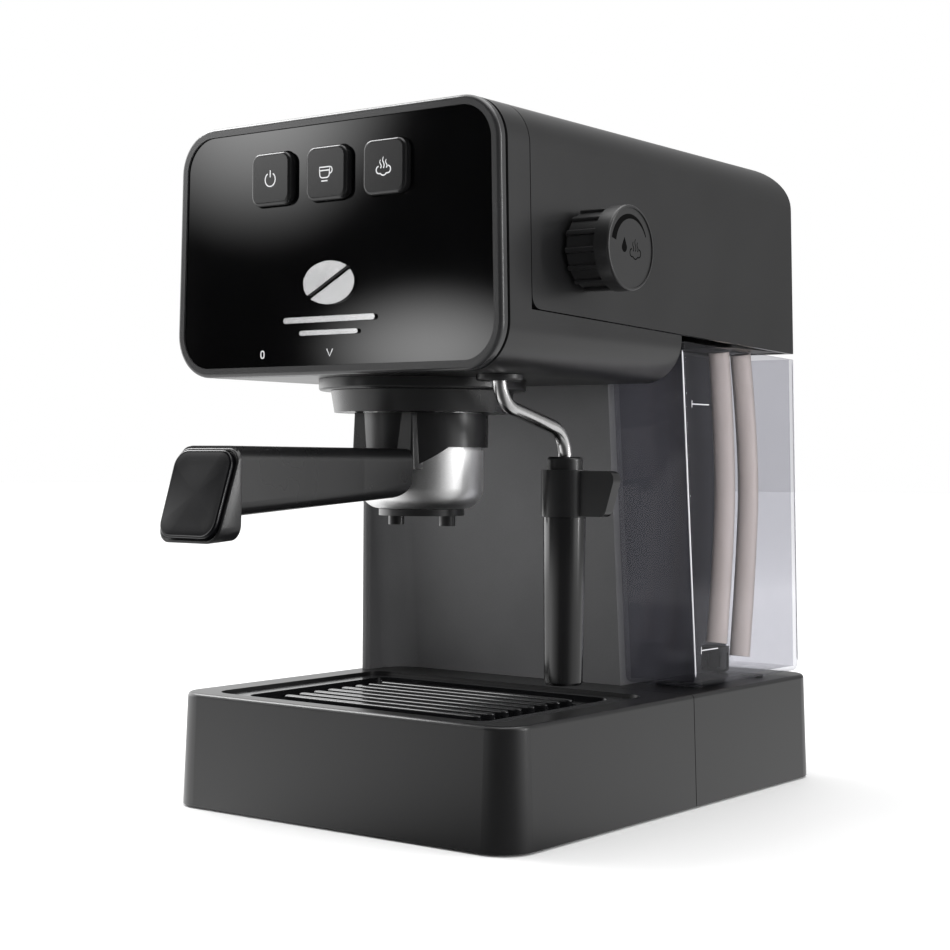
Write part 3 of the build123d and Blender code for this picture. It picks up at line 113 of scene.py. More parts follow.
class Shader:
    """One material under construction."""

    def __init__(self, name: str) -> None:
        """Starts an empty node material.

        Args:
            name: the material's name.
        """
        self.material = bpy.data.materials.new(name)
        self.material.use_nodes = True
        self.tree = self.material.node_tree
        self.tree.nodes.clear()

    def make(self, kind: str, settings: dict[str, Any], sockets: dict[Any, Any]) -> Any:
        """Adds any node.

        Args:
            kind: the node's type.
            settings: the node's own settings; "stops" are a ramp's positions and colours.
            sockets: a value or a Wire for each named or numbered input.

        Returns:
            The node.
        """
        node = self.tree.nodes.new(kind)
        for key, value in settings.items():
            if key == "stops":
                ramp = node.color_ramp
                while len(ramp.elements) < len(value):
                    ramp.elements.new(0.5)
                for element, (position, colour) in zip(ramp.elements, value):
                    element.position = position
                    element.color = (*colour, 1.0)
            else:
                setattr(node, key, value)
        for key, value in sockets.items():
            if isinstance(value, Wire):
                self.tree.links.new(value.socket, node.inputs[key])
            else:
                node.inputs[key].default_value = value
        return node

    def place(self) -> Wire:
        """The point on the piece, in metres, which moves with it."""
        return Wire(self, self.make("ShaderNodeTexCoord", {}, {}).outputs["Object"])

    def stretched(self, scale: Sequence[float]) -> Wire:
        """The point on the piece, scaled along each axis."""
        node = self.make("ShaderNodeMapping", {}, {"Vector": self.place(), "Scale": tuple(scale)})
        return Wire(self, node.outputs[0])

    def noise(self, pitch: float, detail: float = 2.0, where: Optional[Wire] = None) -> Wire:
        """Soft noise.

        Args:
            pitch: rough distance from one blotch to the next, in metres.
            detail: how many finer layers it has.
            where: the point it is read at, or the piece's own.

        Returns:
            A value from 0 to 1.
        """
        sockets = {"Vector": where or self.place(), "Scale": 1 / pitch, "Detail": detail}
        return Wire(self, self.make("ShaderNodeTexNoise", {}, sockets).outputs[0])

    def ramp(self, value: Wire, stops: Sequence[tuple[float, Colour]]) -> Wire:
        """A value turned into a colour by its place between the stops."""
        node = self.make("ShaderNodeValToRGB", {"stops": stops}, {0: value})
        return Wire(self, node.outputs[0])

    def mottled(self, value: Wire, colour: Colour, dark: float, light: float) -> Wire:
        """A colour that drifts between a darker and a lighter shade of itself.

        Args:
            value: the noise that it follows.
            colour: the middle colour.
            dark: factor of the darkest shade.
            light: factor of the lightest shade.

        Returns:
            The colour.
        """
        return self.ramp(value, [(NOISE_LOW, shade(colour, dark)), (NOISE_HIGH, shade(colour, light))])

    def unit(self, value: Wire) -> Wire:
        """The value, kept between 0 and 1."""
        return Wire(self, self.make("ShaderNodeClamp", {}, {0: value, 1: 0.0, 2: 1.0}).outputs[0])

    def bump(self, height: Wire, depth: float, under: Optional[Wire] = None) -> Wire:
        """A normal from a height.

        Args:
            height: the relief, from 0 to 1.
            depth: how deep the relief is, in metres.
            under: a coarser normal below it.

        Returns:
            The normal.
        """
        sockets = {"Height": height, "Distance": depth, "Strength": 1.0}
        if under is not None:
            sockets["Normal"] = under
        return Wire(self, self.make("ShaderNodeBump", {}, sockets).outputs[0])

    def surface(self, sockets: dict[str, Any]) -> Wire:
        """The main shader with these inputs."""
        return Wire(self, self.make("ShaderNodeBsdfPrincipled", {}, sockets).outputs[0])

    def done(self, surface: Wire) -> bpy.types.Material:
        """Ends the material with this surface."""
        self.make("ShaderNodeOutputMaterial", {}, {"Surface": surface})
        return self.material


def shade(colour: Colour, factor: float) -> Colour:
    """A colour made lighter or darker."""
    return tuple(min(1.0, part * factor) for part in colour)


# ---- finishes -----------------------------------------------------------------------------
@dataclass(frozen=True)
class Moulded:
    """Moulded plastic or rubber, with a fine spark texture and faint flow marks."""

    colour: Colour
    roughness: float
    specular: float = 0.5
    grain: float = 0.5 * MM
    relief: float = 0.012 * MM
    uneven: float = 0.12
    cloud: float = 38 * MM
    flow: float = 26 * MM
    flow_relief: float = 0.02 * MM
    grain_share: float = 0.4

    def material(self, name: str) -> bpy.types.Material:
        """The finish as a node material.

        Args:
            name: the material's name.

        Returns:
            The material.
        """
        shader = Shader(name)
        cloudy = shader.noise(self.cloud, 3.0)
        fine = shader.noise(self.grain, 2.0)
        mixed = cloudy * (1 - self.grain_share) + fine * self.grain_share
        tint = shader.mottled(mixed, self.colour, 0.86, 1.14)
        rough = self.roughness * (1 - self.uneven) + cloudy * (self.roughness * 2 * self.uneven)
        flow = shader.bump(shader.noise(self.flow, 1.0), self.flow_relief)
        return shader.done(
            shader.surface(
                {
                    "Base Color": tint,
                    "Roughness": rough,
                    "Specular IOR Level": self.specular,
                    "Normal": shader.bump(fine, self.relief, flow),
                }
            )
        )


@dataclass(frozen=True)
class Gloss:
    """Polished plastic with a faint polish haze and almost no texture."""

    colour: Colour
    roughness: float
    specular: float = 0.5
    haze: float = 22 * MM
    wave: float = 60 * MM
    wave_relief: float = 0.04 * MM

    def material(self, name: str) -> bpy.types.Material:
        """The finish as a node material.

        Args:
            name: the material's name.

        Returns:
            The material.
        """
        shader = Shader(name)
        haze = shader.noise(self.haze, 4.0)
        tint = shader.mottled(haze, self.colour, 0.8, 1.2)
        rough = self.roughness * 0.85 + haze * (self.roughness * 0.3)
        wave = shader.bump(shader.noise(self.wave, 0.0), self.wave_relief)
        return shader.done(
            shader.surface(
                {
                    "Base Color": tint,
                    "Roughness": rough,
                    "Specular IOR Level": self.specular,
                    "Normal": wave,
                }
            )
        )


@dataclass(frozen=True)
class Metal:
    """Bare metal: brushed, cast or polished."""

    colour: Colour
    roughness: float
    brushing: Sequence[float] = (1.0, 1.0, 1.0)
    pitch: float = 0.6 * MM
    relief: float = 0.004 * MM
    cloud: float = 14 * MM

    def material(self, name: str) -> bpy.types.Material:
        """The finish as a node material.

        Args:
            name: the material's name.

        Returns:
            The material.
        """
        shader = Shader(name)
        lines = shader.noise(self.pitch, 3.0, shader.stretched(self.brushing))
        cloudy = shader.noise(self.cloud, 2.0)
        tint = shader.mottled(lines * 0.5 + cloudy * 0.5, self.colour, 0.88, 1.08)
        rough = self.roughness * 0.75 + lines * (self.roughness * 0.5)
        return shader.done(
            shader.surface(
                {
                    "Base Color": tint,
                    "Metallic": 1.0,
                    "Roughness": rough,
                    "Normal": shader.bump(lines, self.relief),
                }
            )
        )


@dataclass(frozen=True)
class Clear:
    """Thin clear plastic: it lets light through face on and mirrors at a glancing angle."""

    tint: Colour
    colour: Colour
    film: float = 0.16
    edge: float = 0.8
    blend: float = 0.28
    roughness: float = 0.05
    specular: float = 0.8
    haze: float = 30 * MM
    haze_share: float = 0.015
    haze_relief: float = 0.008 * MM

    def material(self, name: str) -> bpy.types.Material:
        """The finish as a node material.

        Args:
            name: the material's name.

        Returns:
            The material.
        """
        shader = Shader(name)
        glance = shader.make("ShaderNodeLayerWeight", {}, {"Blend": self.blend})
        haze = shader.noise(self.haze, 3.0)
        through = shader.make("ShaderNodeBsdfTransparent", {}, {"Color": (*self.tint, 1.0)})
        skin = shader.surface(
            {
                "Base Color": (*self.colour, 1.0),
                "Roughness": self.roughness + haze * self.haze_share,
                "Specular IOR Level": self.specular,
                "Normal": shader.bump(haze, self.haze_relief),
            }
        )
        share = self.film + Wire(shader, glance.outputs["Facing"]) * self.edge
        mixed = shader.make(
            "ShaderNodeMixShader",
            {},
            {0: share + haze * self.haze_share, 1: Wire(shader, through.outputs[0]), 2: skin},
        )
        return shader.done(Wire(shader, mixed.outputs[0]))


@dataclass(frozen=True)
class Tube:
    """Milky silicone hose, clearer where it is seen face on."""

    colour: Colour
    alpha: float = 0.72
    haze: float = 9 * MM
    haze_relief: float = 0.05 * MM
    along: float = 0.25

    def material(self, name: str) -> bpy.types.Material:
        """The finish as a node material.

        Args:
            name: the material's name.

        Returns:
            The material.
        """
        shader = Shader(name)
        haze = shader.noise(self.haze, 3.0, shader.stretched((1.0, 1.0, self.along)))
        glance = Wire(
            shader, shader.make("ShaderNodeLayerWeight", {}, {"Blend": 0.4}).outputs["Facing"]
        )
        tint = shader.ramp(
            glance * 0.7 + haze * 0.3,
            [
                (0.15, shade(self.colour, 1.25)),
                (0.45, self.colour),
                (0.8, shade(self.colour, 0.45)),
            ],
        )
        return shader.done(
            shader.surface(
                {
                    "Base Color": tint,
                    "Roughness": 0.25 + haze * 0.15,
                    "Alpha": self.alpha + glance * (1 - self.alpha),
                    "Normal": shader.bump(haze, self.haze_relief),
                }
            )
        )


BRUSHED_UPRIGHT = (1.0, 1.0, 0.06)
CAST = (1.0, 1.0, 1.0)
FINISHES: dict[str, Any] = {
    "housing_charcoal": Moulded((0.0060, 0.0060, 0.0063), 0.30, 0.5, relief=0.008 * MM),
    "housing_black": Moulded((0.0050, 0.0050, 0.0053), 0.5, 0.35),
    "column_charcoal": Moulded((0.068, 0.068, 0.070), 0.52, 0.3, relief=0.004 * MM),
    "bezel_grey": Moulded((0.012, 0.012, 0.0125), 0.26, 0.7, relief=0.003 * MM),
    "panel_gloss": Gloss((0.0006, 0.0006, 0.0007), 0.06, 0.6),
    "badge_silver": Metal((0.86, 0.86, 0.87), 0.22, CAST, relief=0.002 * MM),
    "button_black": Moulded((0.004, 0.004, 0.0042), 0.22, 0.5, relief=0.003 * MM),
    "knob_black": Moulded((0.0075, 0.0075, 0.0078), 0.33, 0.5),
    "grid_black": Moulded((0.004, 0.004, 0.0045), 0.16, 0.6, relief=0.003 * MM),
    "group_grey": Moulded((0.006, 0.006, 0.0063), 0.28, 0.5, relief=0.006 * MM),
    "handle_black": Moulded((0.005, 0.005, 0.0053), 0.28, 0.5, relief=0.006 * MM),
    "cap_gloss": Moulded((0.005, 0.005, 0.0053), 0.25, 0.45, relief=0.003 * MM),
    "bowl_alloy": Metal((0.92, 0.92, 0.92), 0.38, (1.0, 1.0, 3.0), 0.9 * MM, 0.004 * MM),
    "alloy": Metal((0.46, 0.46, 0.47), 0.5, CAST, 1.2 * MM, 0.03 * MM),
    "steel_bright": Metal((0.60, 0.60, 0.61), 0.25, BRUSHED_UPRIGHT),
    "brass": Metal((0.66, 0.48, 0.22), 0.32, CAST),
    "pipe_chrome": Metal((0.62, 0.615, 0.615), 0.2, (1.0, 1.0, 0.3), 1.4 * MM, 0.002 * MM),
    "sleeve_gloss": Moulded((0.004, 0.004, 0.0042), 0.13, 0.6, relief=0.002 * MM),
    "spout_black": Moulded((0.006, 0.006, 0.0063), 0.28, 0.5),
    "tank_clear": Clear((0.93, 0.93, 0.95), (0.02, 0.02, 0.022), 0.05, 0.48, 0.22),
    "hose_silicone": Tube((0.58, 0.51, 0.46)),
    "hose_white": Moulded((0.62, 0.62, 0.58), 0.4, 0.5),
    "rubber_black": Moulded((0.012, 0.012, 0.012), 0.75, 0.3, 0.8 * MM, 0.02 * MM),
    "board_green": Moulded((0.012, 0.075, 0.032), 0.42, 0.5, 1.4 * MM, 0.02 * MM),
    "print_white": Moulded((0.55, 0.55, 0.56), 0.45, 0.4, relief=0.002 * MM),
    "print_black": Moulded((0.001, 0.001, 0.001), 0.6, 0.03, relief=0.002 * MM),
    "cap_plate": Gloss((0.002, 0.002, 0.0025), 0.1, 0.3),
    # painted glint: a pale opaque bead that stands in for the highlight on the tank's corners
    "painted_corner_glint": Moulded((0.50, 0.50, 0.52), 0.15, 0.9, relief=0.002 * MM),
    "level_line": Moulded((0.42, 0.42, 0.44), 0.35, 0.5, relief=0.002 * MM),
}


class Finisher:
    """Makes each finish once and puts it on pieces."""

    def __init__(self) -> None:
        """Starts with no material made."""
        self.made: dict[str, bpy.types.Material] = {}

    def get(self, name: str) -> bpy.types.Material:
        """The material of this finish, made the first time it is asked for.

        Args:
            name: the finish.

        Returns:
            The material.
        """
        if name not in self.made:
            self.made[name] = FINISHES[name].material(name)
        return self.made[name]

    def dress_nodes(self) -> int:
        """Gives every node of the frame the material of its slot.

        Returns:
            How many nodes were dressed.
        """
        slots = {row["node"]: row["material_slot"] for row in frame["record"]["subparts"]}
        for name, node in frame["nodes"].items():
            node.data.materials.clear()
            node.data.materials.append(self.get(slots[name]))
        return len(slots)


# ---- mesh making --------------------------------------------------------------------------
@dataclass
class Face:
    """A flat place to draw on: its middle, its direction across and its direction up."""

    middle: Vector
    across: Vector
    up: Vector

    @property
    def out(self) -> Vector:
        """The direction that the face looks in."""
        return self.across.cross(self.up)

    def at(self, across: float, up: float, out: float = 0.0) -> Vector:
        """A point, in millimetres across, up and out of the face."""
        return self.middle + (self.across * across + self.up * up + self.out * out) * MM


def arc(middle: Spot, radius: float, start: float, end: float, steps: int = 24) -> list[Spot]:
    """Points along a circle.

    Args:
        middle: the circle's middle.
        radius: its radius.
        start: the first angle in degrees, from the right-hand side, anticlockwise.
        end: the last angle.
        steps: the number of runs.

    Returns:
        The points.
    """
    turns = [math.radians(start + (end - start) * step / steps) for step in range(steps + 1)]
    return [(middle[0] + radius * math.cos(t), middle[1] + radius * math.sin(t)) for t in turns]


def rounded(half_wide: float, half_high: float, radius: float, steps: int = 10) -> list[Spot]:
    """Outline of a rectangle with round corners, anticlockwise.

    Args:
        half_wide: half its width.
        half_high: half its height.
        radius: radius of its corners.
        steps: the number of runs in each corner.

    Returns:
        The points.
    """
    wide, high = half_wide - radius, half_high - radius
    corners = ((wide, high, 0), (-wide, high, 90), (-wide, -high, 180), (wide, -high, 270))
    return [spot for x, y, turn in corners for spot in arc((x, y), radius, turn, turn + 90, steps)]


class Piece:
    """One mesh piece under construction."""

    RIM = 0.08  # height of a plate's softened brim, in millimetres
    RIM_SHRINK = 0.04  # how far the brim draws in, as a share of the plate
    SHOULDER = 0.7  # height of a line's shoulder, as a share of its own
    WELD = 1e-7  # points nearer than this are one, in metres

    def __init__(self, name: str) -> None:
        """Starts an empty piece.

        Args:
            name: the piece's name.
        """
        self.name = name
        self.mesh = bmesh.new()

    def rings(self, rows: Sequence[Sequence[Vector]], cap: bool = True) -> None:
        """Skins a run of closed rings.

        Args:
            rows: the rings, all of one length.
            cap: whether the first and last rings are filled.
        """
        made = [[self.mesh.verts.new(point) for point in row] for row in rows]
        count = len(made[0])
        for low, high in zip(made, made[1:]):
            for index in range(count):
                after = (index + 1) % count
                self.mesh.faces.new((low[index], low[after], high[after], high[index]))
        if cap:
            self.mesh.faces.new(list(reversed(made[0])))
            self.mesh.faces.new(made[-1])

    def plate(self, face: Face, outline: Sequence[Spot], low: float, high: float) -> None:
        """A flat plate of this outline, with a softened brim.

        Args:
            face: where it lies.
            outline: its outline.
            low: height of its foot above the face.
            high: height of its top above the face.
        """
        rim = min(self.RIM, (high - low) / 2)
        cx = sum(spot[0] for spot in outline) / len(outline)
        cy = sum(spot[1] for spot in outline) / len(outline)
        rows = []
        for shrink, height in ((0.0, low), (0.0, high - rim), (self.RIM_SHRINK, high)):
            rows.append(
                [face.at(x + (cx - x) * shrink, y + (cy - y) * shrink, height) for x, y in outline]
            )
        self.rings(rows)

    def stroke(
        self,
        face: Face,
        line: Sequence[Spot],
        widths: Sequence[float],
        low: float,
        high: float,
        closed: bool = False,
    ) -> None:
        """A raised line with a crowned section.

        Args:
            face: where it is drawn.
            line: the points it follows.
            widths: its width at the first and the last point.
            low: height of its foot above the face.
            high: height of its crown above the face.
            closed: whether its end joins its start.
        """
        rows = []
        count = len(line)
        for index, (x, y) in enumerate(line):
            before = line[index - 1] if index or closed else line[index]
            after = line[(index + 1) % count] if index < count - 1 or closed else line[index]
            run = Vector((after[0] - before[0], after[1] - before[1]))
            run = run.normalized() if run.length else Vector((1, 0))
            half = (widths[0] + (widths[1] - widths[0]) * index / (count - 1)) / 2
            shoulder = low + (high - low) * self.SHOULDER
            section = ((-half, low), (-half, shoulder), (-half * 0.5, high))
            section += ((half * 0.5, high), (half, shoulder), (half, low))
            rows.append([face.at(x - run.y * s, y + run.x * s, h) for s, h in section])
        if closed:
            rows.append(rows[0])
        self.rings(rows, cap=not closed)

    def place(self, body: str, finish: bpy.types.Material, slot: str, smooth: float = 0.6) -> Any:
        """Ends the piece: its object, its material and the body it rides on.

        Args:
            body: the body it moves with.
            finish: its material.
            slot: the record's slot named for the piece; not used.
            smooth: the largest angle, in radians, that is shaded smooth.

        Returns:
            The object.
        """
        bmesh.ops.remove_doubles(self.mesh, verts=self.mesh.verts, dist=self.WELD)
        bmesh.ops.recalc_face_normals(self.mesh, faces=self.mesh.faces)
        data = bpy.data.meshes.new(self.name)
        self.mesh.to_mesh(data)
        self.mesh.free()
        data.materials.append(finish)
        data.shade_smooth()
        data.set_sharp_from_angle(angle=smooth)
        thing = bpy.data.objects.new(self.name, data)
        bpy.context.scene.collection.objects.link(thing)
        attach(thing, body)
        LOG.info("%s rides on %s", self.name, body)
        return thing


ACROSS = Vector((1, 0, 0))
REARWARDS = Vector((0, 1, 0))
UP = Vector((0, 0, 1))


# ---- controls -----------------------------------------------------------------------------
class Symbol(Enum):
    """What a button shows."""

    POWER = "power"
    CUP = "cup"
    STEAM = "steam"


@dataclass
class Controls:
    """The symbols on the buttons, the marks on the panel and the print on the steam knob."""

    finisher: Finisher
    line: float = 0.5
    proud: float = 0.07
    sunk: float = -0.05
    mark_height: float = 5.2
    open_mark: float = -38.0
    puff_size: float = 3.6
    knob_recess: float = 0.5
    sweep_radius: float = 12.6
    sweep_turn: Spot = (168.0, 25.0)
    sweep_widths: Spot = (3.4, 0.5)
    drop_middle: Spot = (-4.6, -0.2)
    drop_radius: float = 1.9
    drop_tip: float = 4.0
    knob_puff: tuple[float, float, float] = (3.6, -0.2, 3.9)

    def front_face(self, node: str) -> Face:
        """The front face of a node, upright."""
        low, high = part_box(node)
        return Face(Vector(((low.x + high.x) / 2, low.y, (low.z + high.z) / 2)), ACROSS, UP)

    def puff(self, piece: Piece, face: Face, shift: Spot, size: float) -> None:
        """A small cloud with three wisps of steam above it.

        Args:
            piece: the piece it is added to.
            face: where it is drawn.
            shift: its middle.
            size: its half width.
        """
        x, y = shift
        lobes = arc((x - size * 0.62, y - size * 0.42), size * 0.42, 100, 270, 10)
        lobes += arc((x, y - size * 0.55), size * 0.5, 215, 325, 10)
        lobes += arc((x + size * 0.62, y - size * 0.42), size * 0.42, -90, 80, 10)
        piece.stroke(face, lobes, (self.line, self.line), self.sunk, self.proud)
        for index in (-1, 0, 1):
            foot = y - size * 0.25
            tall = size * (1.25 if index == 0 else 0.95)
            wisp = []
            for step in range(13):
                rise = step / 12
                sway = math.sin(rise * math.tau) * size * 0.11
                wisp.append((x + index * size * 0.42 + sway, foot + rise * tall))
            piece.stroke(face, wisp, (self.line, self.line * 0.6), self.sunk, self.proud)

    def symbol(self, node: str, body: str, kind: Symbol) -> None:
        """Draws one button's symbol on its face.

        Args:
            node: the button.
            body: the body it moves with.
            kind: the symbol.
        """
        face = self.front_face(node)
        piece = Piece(f"symbol_{kind.value}")
        pen = (self.line, self.line)
        if kind is Symbol.POWER:
            piece.stroke(face, arc((0, -0.3), 2.9, 122, 418), pen, self.sunk, self.proud)
            piece.stroke(face, [(0, 0.6), (0, 2.0), (0, 3.6)], pen, self.sunk, self.proud)
        elif kind is Symbol.CUP:
            cup = [(-3.3, 2.3), (-3.2, 0.6)] + arc((-1.6, -0.6), 1.5, 190, 270, 8)
            cup += arc((0.6, -0.6), 1.5, 270, 350, 8) + [(2.2, 0.6), (2.3, 2.3)]
            piece.stroke(face, cup, pen, self.sunk, self.proud, closed=True)
            piece.stroke(face, arc((2.3, 0.9), 1.35, 80, -95, 12), pen, self.sunk, self.proud)
            piece.stroke(face, [(-2.2, -3.4), (-0.5, -3.4), (1.2, -3.4)], pen, self.sunk, self.proud)
            piece.stroke(face, [(-3.3, 0.9), (-0.5, 0.9), (2.2, 0.9)], pen, self.sunk, self.proud)
        else:
            self.puff(piece, face, (0, 0), self.puff_size)
        piece.place(body, self.finisher.get("print_white"), "badge_silver")

    def panel_marks(self) -> None:
        """The two small marks that the handle points at: open, and locked."""
        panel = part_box("front_panel")[0]
        basket_low, basket_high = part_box("filter_basket")
        middle = (basket_low.x + basket_high.x) / 2
        face = Face(Vector((middle, panel.y, panel.z)), ACROSS, UP)
        pen = (self.line, self.line)
        piece = Piece("handle_marks")
        foot = self.mark_height
        lock = [(self.open_mark + x, foot + y) for x, y in rounded(0.9, 1.5, 0.85, 6)]
        piece.stroke(face, lock, pen, self.sunk, self.proud, closed=True)
        chevron = [(-1.6, foot + 1.4), (0.0, foot - 1.6), (1.6, foot + 1.4)]
        piece.stroke(face, chevron, pen, self.sunk, self.proud)
        piece.place("housing", self.finisher.get("print_white"), "badge_silver")

    def knob_print(self) -> None:
        """The turning arc, the water drop and the steam cloud on the knob's face."""
        low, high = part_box("steam_knob")
        recess = self.knob_recess * MM
        middle = Vector((high.x - recess, (low.y + high.y) / 2, (low.z + high.z) / 2))
        face = Face(middle, REARWARDS, UP)
        piece = Piece("knob_print")
        sweep = arc((0, 0), self.sweep_radius, *self.sweep_turn, 40)
        piece.stroke(face, sweep, self.sweep_widths, self.sunk, self.proud)
        drop = arc(self.drop_middle, self.drop_radius, -210, 30, 18)
        drop.append((self.drop_middle[0], self.drop_tip))
        piece.plate(face, drop, self.sunk, self.proud)
        *shift, size = self.knob_puff
        self.puff(piece, face, tuple(shift), size)
        piece.place("knob", self.finisher.get("print_black"), "knob_black")

    def build(self) -> None:
        """Builds every symbol and mark."""
        self.symbol("button_power", "power_button", Symbol.POWER)
        self.symbol("button_coffee", "coffee_button", Symbol.CUP)
        self.symbol("button_steam", "steam_button", Symbol.STEAM)
        self.panel_marks()
        self.knob_print()


# ---- handle -------------------------------------------------------------------------------
@dataclass
class HandleEnd:
    """The handle's end cap: a rim, a deep groove and a raised gloss plate on a slanting face."""

    finisher: Finisher
    face_run: float = 12.2
    sunk: float = 1.9
    corner: float = 6.4
    gap: float = 1.5
    taper: float = 0.045
    dish: float = 0.25
    back_step: float = 0.2
    groove: float = 1.0
    dish_rings: int = 8
    dish_reach: float = 8.6

    def slant(self) -> tuple[Face, float, float]:
        """The slanting face.

        Returns:
            The face, and its half width and half height in millimetres.
        """
        low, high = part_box("handle_cap")
        lean = math.atan2(self.face_run * MM, high.z - low.z)
        middle = Vector(
            ((low.x + high.x) / 2, low.y + self.face_run * MM / 2, (low.z + high.z) / 2)
        )
        face = Face(middle, ACROSS, Vector((0, math.sin(lean), math.cos(lean))))
        half_high = (high.z - low.z) / 2 / MM / math.cos(lean)
        return face, (high.x - low.x) / 2 / MM, half_high

    def ring(self, face: Face, half: Spot, inset: float, height: float) -> list[Vector]:
        """One outline of the slanting face, a little narrower towards its foot.

        Args:
            face: the slanting face.
            half: its half width and half height.
            inset: how far inside its edge the outline runs.
            height: how far out of the face it lies.

        Returns:
            The points.
        """
        wide, high = half[0] - inset, half[1] - inset
        spots = rounded(wide, high, max(1.5, self.corner - inset * 0.55))
        return [face.at(x * (1 - self.taper * (1 - y / high) / 2), y, height) for x, y in spots]

    def build(self) -> None:
        """Builds the cap's shell and its plate."""
        face, wide, high = self.slant()
        low_corner, high_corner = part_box("handle_cap")
        half_flat = (high_corner.z - low_corner.z) / 2 / MM
        centre = Vector((face.middle.x, high_corner.y, face.middle.z))
        shell = Piece("cap_shell")
        rows = []
        for step in (0.0, 1.0):
            flat = rounded(wide, half_flat, self.corner)
            rows.append(
                [
                    centre
                    + (ACROSS * x * (1 - self.taper * (1 - y / half_flat) / 2) + UP * y) * MM
                    - REARWARDS * step * self.back_step * MM
                    for x, y in flat
                ]
            )
        floor = -self.sunk
        trench = floor - self.groove
        steps = (
            (0.0, floor - 0.5), (0.1, floor - 0.22), (0.32, floor - 0.05), (0.6, floor),
            (self.gap - 0.5, floor), (self.gap - 0.3, floor - 0.15), (self.gap - 0.2, trench),
            (self.gap + 1.6, trench),
        )
        for inset, height in steps:
            rows.append(self.ring(face, (wide, high), inset, height))
        shell.rings(rows)
        thing = shell.place("portafilter", self.finisher.get("cap_gloss"), "cap_gloss", 0.75)
        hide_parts("handle_cap")

        plate = Piece("cap_plate")
        half = (wide - self.gap, high - self.gap)
        rows = [
            self.ring(face, half, inset, height)
            for inset, height in (
                (0.1, trench + 0.05), (0.0, -0.55), (0.08, -0.25), (0.3, -0.05), (0.62, 0.02), (1.0, 0.0)
            )
        ]
        brim = rows[-1]
        middle = sum(brim, Vector()) / len(brim)
        for step in range(1, self.dish_rings + 1):
            shrink = 1 - step / self.dish_reach
            row = []
            for point in brim:
                inner = (point - middle) * shrink
                side = inner.dot(face.across) / (half[0] * MM)
                rise = inner.dot(face.up) / (half[1] * MM)
                dip = self.dish * (1 - min(1.0, side * side)) * (1 - min(1.0, rise * rise))
                row.append(middle + inner - face.out * dip * MM)
            rows.append(row)
        plate.rings(rows)
        plate.place("portafilter", self.finisher.get("cap_plate"), "cap_gloss", 0.9)


# ---- water --------------------------------------------------------------------------------
@dataclass
class Hose:
    """A silicone hose that hangs in the tank."""

    name: str
    route: Sequence[tuple[float, float, float]]
    length: float
    far_end: str
    pieces: Sequence[str] = ()
    diameter: float = 0.010

    def build(self, finisher: Finisher) -> None:
        """Builds the hose as a smooth curve along its route.

        Args:
            finisher: where its material comes from.
        """
        curve = bpy.data.curves.new(f"{self.name}_line", "CURVE")
        curve.dimensions = "3D"
        curve.resolution_u = 24
        spline = curve.splines.new("NURBS")
        spline.points.add(len(self.route) - 1)
        for point, spot in zip(spline.points, self.route):
            point.co = (*spot, 1.0)
        spline.order_u = 3
        spline.use_endpoint_u = True
        curve.bevel_depth = self.diameter / 2
        curve.bevel_resolution = 8
        curve.use_fill_caps = True
        curve.materials.append(finisher.get("hose_silicone"))
        thing = bpy.data.objects.new(f"{self.name}_soft", curve)
        bpy.context.scene.collection.objects.link(thing)
        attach(thing, "tank")
        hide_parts(self.name)
        LOG.info("%s rides on tank", self.name)


@dataclass
class Water:
    """The hoses and the level lines of the tank."""

    finisher: Finisher
    hose_x: float = 0.06115
    hoses: list[Hose] = field(default_factory=list)
    levels: Sequence[float] = (180.0, 69.0)
    front_lean: float = 14.2
    rear_lean: float = 7.8
    glint_inset: float = 0.62
    glint_half: float = 0.38
    glint_trim: Spot = (5.0, 4.0)
    level_run: Spot = (6.0, 21.0)
    tick_half: float = 1.6
    level_width: float = 0.5
    level_heights: Spot = (-0.1, 0.05)

    def build_hoses(self) -> None:
        """Builds both hoses."""
        x = self.hose_x
        suction = ((x, 0.1118, 0.2064), (x, 0.1194, 0.158), (x, 0.1176, 0.108), (x, 0.1120, 0.068))
        back = ((x, 0.1328, 0.2064), (x, 0.1426, 0.158), (x, 0.1408, 0.108), (x, 0.1346, 0.060))
        self.hoses = [
            Hose("suction_hose", suction, 0.1392, "fitting", ("intake_strainer",)),
            Hose("return_hose", back, 0.1476, "bare"),
        ]
        for hose in self.hoses:
            hose.build(self.finisher)

    def build_levels(self) -> None:
        """Moulds a level line with short ticks near the top and the foot of the tank's side."""
        low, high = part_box("water_tank")
        for number, level in enumerate(self.levels):
            lean = (level * MM - low.z) / (high.z - low.z)
            front = low.y + (1 - lean) * self.front_lean * MM
            face = Face(Vector((high.x, front, level * MM)), REARWARDS, UP)
            piece = Piece(f"level_line_{number + 1}")
            start, end = self.level_run
            tick = [(start, -self.tick_half), (start, 0), (start, self.tick_half)]
            for line in ([(start, 0), (start * 2, 0), (end, 0)], tick):
                piece.stroke(face, line, (self.level_width, self.level_width), *self.level_heights)
            piece.place("tank", self.finisher.get("level_line"), "tank_clear")


    def build_corner_glints(self) -> None:
        """Runs a bright bead down the tank's outer corners, where its wall is thickest: a painted glint
        that stands in for the highlight on those corners.
        """
        low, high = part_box("water_tank")
        # painted glint: the pale bead is not a piece of the real tank, only its corner highlight
        piece = Piece("tank_corner_glint")
        inset = self.glint_inset * MM
        foot, top = low.z + self.glint_trim[0] * MM, high.z - self.glint_trim[1] * MM
        for first, last in (
            (low.y + self.front_lean * MM + inset, low.y + inset),
            (high.y - inset, high.y - self.rear_lean * MM - inset),
        ):
            rows = []
            for share in (0.0, 0.01, 0.5, 0.99, 1.0):
                half = self.glint_half * (0.3 if share in (0.0, 1.0) else 1.0)
                height = foot + (top - foot) * share
                middle = Vector((high.x - inset, first + (last - first) * share, height))
                rows.append([middle + Vector((x, y, 0)) * MM for x, y in arc((0, 0), half, 0, 330, 11)])
            piece.rings(rows)
        piece.place("tank", self.finisher.get("painted_corner_glint"), "tank_clear")


